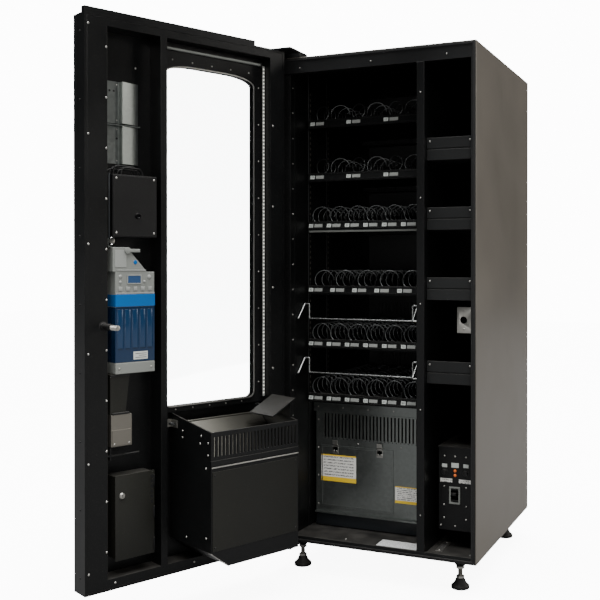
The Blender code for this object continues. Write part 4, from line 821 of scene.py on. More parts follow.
class VENDING_OT_case(Build, bpy.types.Operator):
    """Make the case, its linings, mullion, sill and hinge plates"""

    bl_idname = "vending.case"
    bl_label = "Case and linings"

    def build(self, sizes):
        eased("cabinet_shell", "case", 0.0012)
        eased("left_liner", "powder_liner")
        eased("partition_wall", "powder")
        eased("mullion_post", "powder")
        eased("floor_sill", "powder")
        eased("top_hinge_plate", "powder", smooth=ROUND)
        eased("bottom_hinge_plate", "powder", smooth=ROUND)
        shell = self.extent("cabinet_shell")
        mullion = self.extent("mullion_post")
        sill = self.extent("floor_sill")
        liner = self.extent("left_liner")
        partition = self.extent("partition_wall")
        self.slot_columns(liner, partition)
        self.vents(shell, partition)
        spots = [(mullion.middle[0], mullion.y0, z)
                 for z in spaced(mullion.z0 + 0.12, mullion.z1 - 0.10, 5)]
        spots += [(x, mullion.y0, mullion.z1 + 0.018)
                  for x in spaced(shell.x0 + 0.10, shell.x1 - 0.10, 3)]
        self.fixings("mullion_screws", spots, "-Y", sizes.screw * 0.6)
        plate = self.extent("top_hinge_plate")
        bolts = [lathe([(ON_AXIS, 0.0052), (0.0058, 0.0050), (0.0064, 0.0042), (0.0066, 0.0)],
                       (x, y, plate.z1), steps=6)
                 for x in (plate.x0 + 0.03, plate.x1 - 0.02) for y in (0.018, 0.045)]
        pin = lathe([(ON_AXIS, 0.004), (0.0075, 0.0035), (0.009, 0.002), (0.009, 0.0)],
                    (HINGE["pos_m"][0] - HOME.x, HINGE["pos_m"][1] - HOME.y, plate.z1), steps=24)
        self.add("hinge_bolts", merged(bolts + [pin]), "zinc_plate", smooth=ROUND)
        self.sill_details(sill, sizes)
        seal = ring_frame(((shell.x0 + 0.004, 0.004), (shell.x1 - 0.004, shell.z1 - 0.004)),
                          0.008, -0.0035, -0.0002, 0.001)
        self.add("front_seal", seal, "rubber")

    def slot_columns(self, liner, partition):
        """Hook slots and small screws down the tray columns, drawn as dark plugs and rims."""
        rims, plugs = [], []
        for x, inward in ((liner.x1, 1), (partition.x0, -1)):
            for column in (0.1655, 0.3205):
                for z in spaced(0.50, 1.60, 56):
                    low = (min(x, x + inward * 0.0004), column - 0.0035, z - 0.0045)
                    high = (max(x, x + inward * 0.0004), column + 0.0035, z + 0.0045)
                    plugs.append(slab(low, high))
        self.add("tray_slot_plugs", merged(plugs), "bare_steel")
        for z in spaced(0.08, 1.60, 18):
            rims.append((liner.x1 - 0.0025, 0.030, z))
        self.fixings("liner_screws", rims, "+X", 0.0026)
        self.add("liner_seam", slab((liner.x1 - 0.0027, 0.0435, liner.z0 + 0.01),
                                    (liner.x1 - 0.0019, 0.0450, liner.z1 - 0.05)), "shelf_grey")

    def vents(self, shell, partition):
        """Louvres pressed in the back wall behind the trays, in two rows."""
        back = shell.y1 - 0.020
        fins = []
        for row in (0.575, 0.790, 1.200):
            for x in spaced(shell.x0 + 0.105, partition.x0 - 0.05, 22):
                fins.append(extrusion(
                    [(back, row - 0.026), (back, row + 0.026), (back - 0.004, row + 0.022),
                     (back - 0.004, row - 0.022)], "X", x - 0.0035, x + 0.0035, 0.0006))
        self.add("back_louvres", merged(fins), "shelf_grey")

    def sill_details(self, sill, sizes):
        """The label and the strike on the floor sheet."""
        floor = sill.z0 + 0.0037 - 0.0003
        (x0, y0), (x1, y1) = (0.372, 0.022), (0.535, 0.105)
        label = slab((x0, y0, floor), (x1, y1, floor + 0.0006), 0.0002)
        self.add("sill_label", label, self.sill_print(y0 + HOME.y, y1 + HOME.y))
        strike = slab((0.578, 0.058, floor), (0.603, 0.165, floor + 0.003), 0.001)
        # The slot in the strike is a near-black plate: painted shade.
        slotted = slab((0.586, 0.080, floor + 0.003), (0.595, 0.140, floor + 0.0036), 0.0002)
        self.add("sill_strike", strike, "zinc_plate")
        self.add("sill_strike_slot_shade", slotted, "dark_mark")
        spots = [(0.5905, 0.068, floor + 0.003), (0.5905, 0.155, floor + 0.003),
                 (0.25, 0.06, floor), (0.70, 0.06, floor)]
        self.fixings("sill_screws", spots, "+Z", sizes.screw * 0.8)

    def sill_print(self, near, far):
        """Dark print lines across the floor sheet's label."""
        material, tree, shader = blank("sill_print", Coat_Weight=0.3, Coat_Roughness=0.25)
        where = tree.nodes.new("ShaderNodeTexCoord").outputs["Object"]
        at = add(tree, "ShaderNodeSeparateXYZ", {0: where}).outputs
        row = spread(tree, at["Y"], near, far, 0, 7)
        line = add(tree, "ShaderNodeMath", {0: row}, operation="FRACT").outputs[0]
        words = add(tree, "ShaderNodeTexNoise", {"Vector": where, "Scale": 300.0}).outputs["Fac"]
        dark_mark = maths(tree, "MULTIPLY", maths(tree, "LESS_THAN", line, 0.35),
                    maths(tree, "GREATER_THAN", words, 0.5))
        tree.links.new(mix(tree, dark_mark, (0.62, 0.63, 0.62), (0.16, 0.16, 0.16)),
                       shader.inputs["Base Color"])
        tree.links.new(spread(tree, words, 0, 1, 0.4, 0.5), shader.inputs["Roughness"])
        return material


class VENDING_OT_feet(Build, bpy.types.Operator):
    """Make the four levelling feet"""

    bl_idname = "vending.feet"
    bl_label = "Levelling feet"

    def build(self, sizes):
        for node in sorted(frame["nodes"]):
            if node.startswith("foot_"):
                self.foot(node)

    def foot(self, node):
        """One foot: rubber pad, bracket, threaded stud and two nuts."""
        extent = self.extent(node)
        x, y, _ = extent.middle
        low, high = extent.z0, extent.z1
        pad = [(ON_AXIS, low), (0.0295, low), (0.0308, low + 0.0012), (0.0310, low + 0.0075),
               (0.0300, low + 0.0105), (0.0270, low + 0.0130), (0.0215, low + 0.0185),
               (0.0180, low + 0.0245), (0.0160, low + 0.0300), (0.0150, low + 0.0318),
               (0.0080, low + 0.0322), (ON_AXIS, low + 0.0322)]
        self.add(node + "_pad", lathe(pad, (x, y, 0)), "rubber", smooth=ROUND,
                 slot="foot_rubber", instead_of=[node])
        bracket = high - 0.030
        cup = [(ON_AXIS, bracket), (0.0142, bracket), (0.0340, high - 0.001), (0.0340, high),
               (ON_AXIS, high)]
        self.add(node + "_bracket", lathe(cup, (x, y, 0)), "powder", smooth=ROUND)
        thread = []
        top = bracket - 0.0108
        z = low + 0.032
        while z < top:
            thread += [(0.0068, z), (0.0079, z + 0.0008)]
            z += 0.0016
        thread = [(ON_AXIS, low + 0.031)] + thread + [(0.0068, top), (ON_AXIS, top)]
        self.add(node + "_stud", lathe(thread, (x, y, 0), steps=20), "zinc_plate", smooth=60)
        nuts = []
        for start, turn in ((bracket - 0.0100, 0.2), (low + 0.0330, 0.5)):
            nut = lathe([(0.0080, start), (0.0125, start), (0.0138, start + 0.0014),
                         (0.0138, start + 0.0082), (0.0125, start + 0.0096),
                         (0.0080, start + 0.0096), (0.0080, start)], (0, 0, 0), steps=6)
            bmesh.ops.transform(nut, matrix=Matrix.Translation((x, y, 0))
                                @ Matrix.Rotation(turn, 4, "Z"), verts=nut.verts)
            nuts.append(nut)
        self.add(node + "_nuts", merged(nuts), "bright_screw", smooth=25)


class VENDING_OT_cooling(Build, bpy.types.Operator):
    """Make the cooling deck with its grille, access panel, labels and machinery"""

    bl_idname = "vending.cooling"
    bl_label = "Cooling deck"

    def build(self, sizes):
        eased("deck_grille_panel", "zinc_sheet", 0.0005)
        eased("deck_access_panel", "zinc_sheet", 0.0008)
        eased("evaporator_housing", "zinc_sheet")
        eased("condensing_unit", "pan_grey", smooth=ROUND)
        eased("condenser_fan", "black_plastic", smooth=ROUND)
        panel = self.extent("deck_access_panel")
        grille = self.extent("deck_grille_panel")
        top = self.extent("evaporator_housing")
        face = panel.y0
        hooks, spots = [], []
        for x in (panel.x0 + 0.062, panel.x0 + 0.237):
            hooks.append(slab((x - 0.012, face - 0.0015, panel.z1 - 0.030),
                              (x + 0.012, face, panel.z1 - 0.004), 0.0005))
            hooks.append(extrusion(
                [(face - 0.0015, panel.z1 + 0.002), (face - 0.006, panel.z1 + 0.006),
                 (face - 0.007, panel.z1 + 0.020), (face - 0.0045, panel.z1 + 0.021),
                 (face - 0.0035, panel.z1 + 0.008), (face - 0.0002, panel.z1 + 0.004),
                 (face - 0.0002, panel.z1 - 0.022), (face - 0.0015, panel.z1 - 0.022)],
                "X", x - 0.010, x + 0.010, 0.0003))
            spots += [(x - 0.006, face - 0.0015, panel.z1 - 0.020),
                      (x + 0.006, face - 0.0015, panel.z1 - 0.020)]
        self.add("access_hooks", merged(hooks), "bright_screw")
        rims = ring_frame(((panel.x0 + 0.006, panel.z0 + 0.006), (panel.x1 - 0.006,
                          panel.z1 - 0.006)), 0.004, face - 0.0012, face, 0.0005)
        self.add("access_panel_fold", rims, "zinc_sheet")
        front = grille.y0 + 0.012
        spots += [(x, top.y0, (top.z0 + top.z1) / 2)
                  for x in spaced(top.x0 + 0.02, top.x1 - 0.02, 5)]
        spots += [(x, front, z) for x in (grille.x0 + 0.009, grille.x1 - 0.010)
                  for z in spaced(grille.z0 + 0.03, grille.z1 - 0.03, 4)]
        spots += [(x, front, panel.z1 + 0.012) for x in (panel.x0 + 0.15, panel.x1 + 0.03)]
        self.fixings("deck_screws", spots, "-Y", sizes.screw * 0.8)
        # The dimples along the grille are near-black discs: painted shade.
        dots = [rod("Y", (x, front - 0.0003, panel.z1 + 0.026), 0.0022, 0.0008, segments=10)
                for x in spaced(grille.x0 + 0.036, grille.x1 - 0.02, 26)]
        self.add("deck_dimple_shade", merged(dots), "dark_mark")
        lips = [slab((x - 0.0036, front - 0.0012, grille.z1 - 0.0950),
                     (x - 0.0031, front, grille.z1 - 0.0055))
                for x in spaced(grille.x0 + 0.036, grille.x1 - 0.018, 28)]
        self.add("grille_slot_lips", merged(lips), "bright_screw")
        self.stickers(panel, grille, face)
        self.coil_fins()

    def stickers(self, panel, grille, face):
        """Two plain stickers: print lines over a yellow band."""
        one = ((panel.x0 + 0.004, 0.176), (panel.x0 + 0.144, 0.274))
        two = ((panel.x1 + 0.007, 0.121), (grille.x1 - 0.014, 0.181))
        for name, (low, high), surface, band in (
                ("service_sticker", one, face, 0.17), ("caution_sticker", two, face + 0.003, 0.17)):
            shape = slab((low[0], surface - 0.0006, low[1]), (high[0], surface, high[1]), 0.00015)
            at = [(low[0] + HOME.x, low[1] + HOME.z), (high[0] + HOME.x, high[1] + HOME.z)]
            self.add(name, shape, printed(name, *at, rows=9.0, band=band))

    def coil_fins(self):
        """Fins on the condenser coil, seen through the grille and from the side."""
        unit = self.extent("condensing_unit")
        left, right = unit.x0 + 0.060, unit.x1 - 0.060
        fins = [slab((x, unit.y0 + 0.0375, unit.z0 + 0.02), (x + 0.0008, unit.y0 + 0.0395,
                     unit.z0 + 0.255)) for x in spaced(left + 0.004, right - 0.005, 60)]
        self.add("coil_fins", merged(fins), "bare_steel")


class VENDING_OT_storage(Build, bpy.types.Operator):
    """Make the storage shelves, the strike plate and the power box"""

    bl_idname = "vending.storage"
    bl_label = "Storage bay"

    def build(self, sizes):
        spots = []
        for number in range(1, 5):
            eased(f"storage_shelf_{number}", "shelf_grey", 0.0012)
            shelf = self.extent(f"storage_shelf_{number}")
            spots += [(x, shelf.y0, shelf.z1 - 0.012) for x in (shelf.x0 + 0.01, shelf.x1 - 0.01)]
        eased("lock_strike_plate", "zinc_plate", 0.0006, smooth=30)
        strike = self.extent("lock_strike_plate")
        spots += [(strike.x0 + 0.024, strike.y0, z) for z in (strike.z0 + 0.013, strike.z1 - 0.013)]
        self.fixings("storage_screws", spots, "-Y", sizes.screw * 0.8)
        eased("control_box", "powder")
        self.power_face(self.extent("control_box"), sizes)

    def power_face(self, box, sizes):
        """Everything on the face of the power box: switches, caps, lamps, tags and breaker."""
        face = box.y0 + 0.010
        xs = (box.x0 + 0.021, box.x0 + 0.058, box.x0 + 0.096)
        spots = [(x, face, 0.326) for x in xs]
        spots += [(x, face, z) for x in (xs[0] - 0.002, xs[2]) for z in (0.223, 0.160, 0.116)]
        spots += [(box.x0 + 0.008, face, 0.090), (xs[1], face, 0.091),
                  (box.x1 - 0.012, face, 0.091)]
        self.fixings("power_screws", spots, "-Y", sizes.screw * 0.75)
        tags = [slab((x - w, face - 0.0008, z - h), (x + w, face, z + h), 0.0002)
                for x, z, w, h in ((xs[0], 0.293, 0.009, 0.006), (xs[1], 0.296, 0.013, 0.008),
                                   (xs[2], 0.296, 0.009, 0.006))]
        self.add("power_tags", merged(tags), "label_white")
        strips = [slab((x - 0.021, face - 0.0007, 0.237), (x + 0.021, face, 0.250), 0.0002)
                  for x in (xs[0] + 0.006, xs[2] - 0.004)]
        low = (box.x0 + HOME.x, 0.237 + HOME.z)
        high = (box.x1 + HOME.x, 0.250 + HOME.z)
        self.add("power_strips", merged(strips), printed("power_strip_print", low, high, rows=2.0))
        cap = [(ON_AXIS, 0.013), (0.0075, 0.0125), (0.0085, 0.011), (0.0088, 0.004),
               (0.0115, 0.0035), (0.0118, 0.0)]
        self.add("fuse_caps", merged([turned(cap, (x, face, 0.273), "-Y")
                                      for x in (xs[0], xs[2])]), "black_plastic", smooth=ROUND)
        lens = [(ON_AXIS, 0.0045), (0.003, 0.004), (0.0045, 0.0022), (0.005, 0.0)]
        self.add("power_lamps", merged([turned(lens, (xs[1], face, z), "-Y", 20)
                                        for z in (0.277, 0.262)]), "orange", smooth=ROUND)
        lever = self.extent("breaker_lever")
        x, z = lever.middle[0], lever.z0 + 0.008
        plate = ring_frame(((x - 0.019, z - 0.029), (x + 0.019, z + 0.029)), 0.0055,
                           face - 0.006, face, 0.001)
        self.add("breaker_bezel", plate, "grey_plastic")
        eased("breaker_lever", "black_plastic", 0.0012)


# ---------------------------------------------------------------- trays

COLUMNS = {1: 3, 2: 3, 3: 6, 4: 5, 5: 6, 6: 6}


class VENDING_OT_trays(Build, bpy.types.Operator):
    """Make the sliding trays with their label rails"""

    bl_idname = "vending.trays"
    bl_label = "Trays"

    def build(self, sizes):
        for number in range(1, 7):
            self.tray(number, COLUMNS[number])

    def tray(self, number, columns):
        """One tray: tags, price bars and numbers along its rail, and its motors' faces."""
        node = f"tray_{number}"
        eased(node, "powder", 0.0006)
        tray = self.extent(node)
        cell = (tray.x1 - tray.x0) / columns
        lean = math.atan2(0.006, 0.032)
        middle = tray.z0 + 0.016
        face = tray.y0 + 0.003
        tilt = Matrix.Translation((0, face, middle)) @ Matrix.Rotation(-lean, 4, "X")
        tags, bars, numbers = [], [], []
        for column in range(columns):
            x = tray.x0 + column * cell + (0.004 if columns > 3 else 0.010)
            tag = slab((x, -0.0016, -0.0065), (x + 0.017, 0, 0.0065), 0.0004)
            bar = slab((x + 0.022, -0.0014, -0.0060), (x + 0.054, 0, 0.0060), 0.0004)
            ribs = [slab((x + 0.024 + rib * 0.0035, -0.0021, -0.0052),
                         (x + 0.0256 + rib * 0.0035, -0.0012, 0.0052)) for rib in range(9)]
            text = digits(f"{number}{column}", 0.0105,
                          Matrix.Translation((x + 0.0085, -0.00165, 0)) @ FACING["-Y"])
            tags.append(tag)
            bars += [bar] + ribs
            numbers.append(text)
        for name, shapes, look in (("tags", tags, "label_white"),
                                   ("price_bars", bars, "pale_plastic"),
                                   ("numbers", numbers, "dark_mark")):
            shape = merged(shapes)
            bmesh.ops.transform(shape, matrix=tilt, verts=shape.verts)
            self.add(f"{node}_{name}", shape, look, node)
        channel = [slab((tray.x0 + 0.001, face - 0.0022, middle + side * 0.0105 - 0.0012),
                        (tray.x1 - 0.001, face + 0.001, middle + side * 0.0105 + 0.0012), 0.0005)
                   for side in (-1, 1)]
        channel[0] = turned_copy(channel[0], Matrix.Translation((0, -0.0020, 0)))
        channel[1] = turned_copy(channel[1], Matrix.Translation((0, 0.0020, 0)))
        self.add(f"{node}_rail_lips", merged(channel), "powder", node)
        back = tray.y1 - 0.060
        motors = []
        for column in range(6):
            x = tray.x0 + (column + 0.5) * (tray.x1 - tray.x0) / 6
            motors.append(slab((x - 0.028, back - 0.0025, tray.z0 + 0.006),
                               (x + 0.028, back, tray.z0 + 0.070), 0.001))
        self.add(f"{node}_motor_faces", merged(motors), "black_plastic", node)


class VENDING_OT_spirals(Build, bpy.types.Operator):
    """Make the vend spirals of every tray"""

    bl_idname = "vending.spirals"
    bl_label = "Vend spirals"

    def build(self, sizes):
        pitches = {1: 0.062, 2: 0.062, 3: 0.046, 4: 0.058, 5: 0.040, 6: 0.040}
        for number, columns in COLUMNS.items():
            tray = self.extent(f"tray_{number}")
            count = 6 if columns == 3 else columns
            start, end = tray.y0 + 0.022, tray.y1 - 0.060 - 0.024
            level = tray.z0 + 0.023 + sizes.spiral_diameter / 2
            for place in range(count):
                x = tray.x0 + (place + 0.5) * (tray.x1 - tray.x0) / count
                hand = 1 if place % 2 or columns > 3 else -1
                shape = helix((x, level), start, end, sizes.spiral_diameter, sizes.spiral_wire,
                              pitches[number], hand, sizes.spiral_steps)
                hub = rod("Y", (x, end + 0.006, level), 0.011, 0.016, 0.013, 20, 0.001)
                node = f"spiral_{number}_{place + 1}"
                own = node in frame["nodes"]
                body = node if own else f"tray_{number}"
                self.add(f"{node}_wire", shape, "spring_steel", body, smooth=60,
                         slot="spring_wire", instead_of=[node] if own else [])
                self.add(f"{node}_hub", hub, "black_plastic", body, smooth=ROUND)


class VENDING_OT_guards(Build, bpy.types.Operator):
    """Make the two swinging wire guards and the light under the third tray"""

    bl_idname = "vending.guards"
    bl_label = "Wire guards"

    def build(self, sizes):
        for side in ("lower", "upper"):
            node = f"wire_guard_{side}"
            pivot = joint_named(f"{node}_swing")["pos_m"]
            y, z = pivot[1] - HOME.y, pivot[2] - HOME.z
            extent = self.extent(node)
            radius = 0.0025
            left = extent.x0 + 0.0045
            right = left + 0.4338
            back = y + 0.052
            points = [(extent.x0, y, z), (left, y, z), (left, back, z + 0.050),
                      (left + 0.018, back, z + 0.050), (left + 0.018, back, z - 0.003),
                      (right - 0.018, back, z - 0.003), (right - 0.018, back, z + 0.050),
                      (right, back, z + 0.050), (right, y, z), (extent.x1, y, z)]
            self.add(f"{node}_wire", bent_wire(points, radius, 0.004, 12), "guard_wire", node,
                     smooth=SCREW_ROUND, slot="zinc_plate", instead_of=[node])
            bush = [rod("X", (x, y, z), 0.0055, length, segments=20, rounding=0.0006)
                    for x, length in ((extent.x0 + 0.0002, 0.0022), (extent.x1 - 0.0032, 0.003))]
            self.add(f"{node}_bushes", merged(bush), "black_plastic", smooth=ROUND)
        tray = self.extent("tray_3")
        lamp = slab((tray.x0 + 0.004, tray.y0 + 0.004, tray.z0 - 0.0075),
                    (tray.x1 - 0.004, tray.y0 + 0.016, tray.z0 - 0.0004), 0.0012)
        self.add("tray_light", lamp, "grey_plastic", "tray_3")


# ---------------------------------------------------------------- door


class VENDING_OT_door(DoorBuild, bpy.types.Operator):
    """Make the door's skin and inner frame, with their screws and a fold strip"""

    bl_idname = "vending.door"
    bl_label = "Door"

    def build(self, sizes):
        eased("door_shell", "door_powder", 0.0009)
        eased("door_inner_frame", "door_powder", 0.0008)
        frame_box = self.extent("door_inner_frame")
        back = frame_box.y1
        spots = []
        outer, inner, hinge = frame_box.x1 - 0.004, frame_box.x1 - 0.061, frame_box.x0 + 0.041
        spots += [(outer, back, z) for z in spaced(0.065, 1.680, 6)]
        spots += [(inner, back, z) for z in spaced(0.119, 1.619, 11)]
        spots += [(hinge, back, z) for z in spaced(0.34, 1.45, 5)]
        spots += [(x, back, frame_box.z0 + 0.012) for x in spaced(0.09, 0.64, 3)]
        floor = self.extent("validator_cover").y0
        spots += [(0.537, floor + 0.0002, 1.585), (0.537, floor + 0.0002, 1.245)]
        spots += [(0.4925, floor + 0.0002, z) for z in (0.66, 0.80, 0.935)]
        self.fixings("door_frame_screws", spots, "+Y", sizes.screw * 0.85)
        edge = self.extent("door_shell")
        side = [(edge.x1, edge.y0 + 0.040, z) for z in spaced(0.05, 1.66, 9)]
        self.fixings("door_edge_screws", side, "+X", sizes.screw * 0.8, "powder")
        fold = slab((frame_box.x1 - 0.0644, back - 0.0102, frame_box.z0 + 0.027),
                    (frame_box.x1 - 0.0634, back + 0.0002, frame_box.z1 - 0.025), 0.0003)
        self.add("latch_band_fold", fold, "cover_grey")


class VENDING_OT_window(DoorBuild, bpy.types.Operator):
    """Make the window, its retainer, seals, screws and lights"""

    bl_idname = "vending.window"
    bl_label = "Window"

    def build(self, sizes):
        eased("window_glass", "glass", 0.0008)
        eased("window_retainer", "powder", 0.0006)
        eased("led_strip", "pale_plastic", 0.0015)
        retainer = self.extent("window_retainer")
        glass = self.extent("window_glass")
        strip = self.extent("led_strip")
        back = retainer.y1
        window = opening(glass)
        left, low, right, high = window
        self.add("window_seal", band(arched(window, 0.0037), arched(window, -0.0015),
                                     back - 0.0038, back + 0.0022, 0.0006), "rubber")
        self.add("window_trim", band(arched(window, 0.0014), arched(window, -0.0030),
                                     back + 0.0020, back + 0.0036, 0.0004), "bright_screw")
        spots = [(left - 0.021, back, z) for z in spaced(low + 0.05, high - 0.03, 9)]
        spots += [(right + 0.010, back, z) for z in spaced(low + 0.05, high - 0.03, 9)]
        spots += [(x, back, high + 0.016) for x in spaced(left + 0.02, right - 0.03, 5)]
        spots += [(x, back, low - 0.010) for x in spaced(left + 0.05, right - 0.04, 5)]
        self.fixings("retainer_screws", spots, "+Y", sizes.screw * 0.62)
        bar = [slab((strip.x0 + 0.016, back + 0.0002, high + 0.045),
                    (retainer.x1 - 0.008, back + 0.011, high + 0.052), 0.0015),
               slab((strip.x0 + 0.010, back + 0.0002, high + 0.041),
                    (strip.x0 + 0.018, back + 0.012, high + 0.056), 0.002)]
        self.add("top_light", bar[0], "grey_plastic")
        self.add("top_light_cap", bar[1], "black_plastic")
        shade = [slab((strip.x0 - 0.0014, strip.y0, strip.z0 + 0.001), (strip.x0 - 0.0001,
                      strip.y1 + 0.001, strip.z1 - 0.001), 0.0004),
                 slab((strip.x1 + 0.0001, strip.y0, strip.z0 + 0.001), (strip.x1 + 0.0014,
                      strip.y1 + 0.001, strip.z1 - 0.001), 0.0004)]
        self.add("light_channel", merged(shade), "black_plastic")
        lamps = [slab((strip.middle[0] - 0.0022, strip.y1 - 0.0002, z), (strip.middle[0] + 0.0022,
                      strip.y1 + 0.0008, z + 0.0050))
                 for z in spaced(strip.z0 + 0.010, strip.z1 - 0.014, 92)]
        self.add("light_dots", merged(lamps), "lamp_chip")


class VENDING_OT_bin(DoorBuild, bpy.types.Operator):
    """Make the delivery bin, its cover, trim, flaps and a painted highlight on its slanted edge"""

    bl_idname = "vending.bin"
    bl_label = "Delivery bin"

    def build(self, sizes):
        eased("bin_housing", "bin_powder", 0.0006)
        eased("bin_inner_flap", "flap_steel", 0.0004, smooth=ROUND)
        eased("delivery_flap", "black_plastic", 0.0012)
        box = self.extent("bin_housing")
        left, right, front = 0.080, 0.417, box.y1
        cover = extrusion([(left + 0.004, 0.104), (right - 0.004, 0.104), (right - 0.004, 0.346),
                           (left + 0.004, 0.346)], "Y", front + 0.0002, front + 0.0022, 0.0007)
        self.add("bin_cover", cover, "cover_grey")
        self.add("bin_lip", slab((left + 0.001, front, 0.3570),
                                 (right - 0.001, front + 0.0032, 0.3608), 0.0008), "bright_screw")
        self.add("bin_rail", slab((left - 0.0012, front - 0.004, 0.3640),
                                  (right + 0.0012, front + 0.0035, 0.3800), 0.0012), "bin_powder")
        side = right
        spots = [(side, -0.001, 0.451), (side, -0.001, 0.430), (side, 0.105, 0.449),
                 (side, 0.099, 0.425), (side, 0.143, 0.432), (side, 0.143, 0.395),
                 (side, 0.132, 0.353), (side, 0.132, 0.140), (side, 0.02, 0.120)]
        self.fixings("bin_rivets", spots, "+X", sizes.screw * 0.8)
        fronts = [(x, front + 0.0022, z) for x in (left + 0.012, right - 0.012)
                  for z in (0.116, 0.335)]
        self.fixings("bin_cover_screws", fronts, "+Y", sizes.screw * 0.7, "powder")
        bracket = [slab((side + 0.0002, -0.070, 0.455), (side + 0.0022, -0.030, 0.480), 0.0006),
                   slab((side + 0.0002, -0.070, 0.455), (side + 0.0140, -0.067, 0.480), 0.0006)]
        self.add("bin_bracket", merged(bracket), "zinc_plate")
        coil = helix((0, 0), 0.0, 0.026, 0.010, 0.0014, 0.0028, 1, 12)
        bmesh.ops.transform(coil, matrix=Matrix.Translation((side + 0.008, -0.064, 0.467)),
                            verts=coil.verts)
        self.add("bin_spring", coil, "spring_steel", smooth=60)
        # A bright metal strip along the bin's slanted lower edge: a painted highlight.
        edge = extrusion([(right - 0.0655, 0.0478), (right - 0.0655, 0.0498),
                          (right + 0.0012, 0.1012), (right + 0.0012, 0.0990)], "Y", front - 0.018,
                         front + 0.0012, 0.0004)
        self.add("bin_edge_painted_highlight", edge, "bright_screw")
        flap = self.extent("delivery_flap")
        grip = slab((flap.x0 + 0.03, flap.y0 - 0.0011, flap.z0 + 0.012),
                    (flap.x1 - 0.03, flap.y0 + 0.0005, flap.z0 + 0.036), 0.0008)
        self.add("flap_grip", grip, "gloss_black", "delivery_flap")


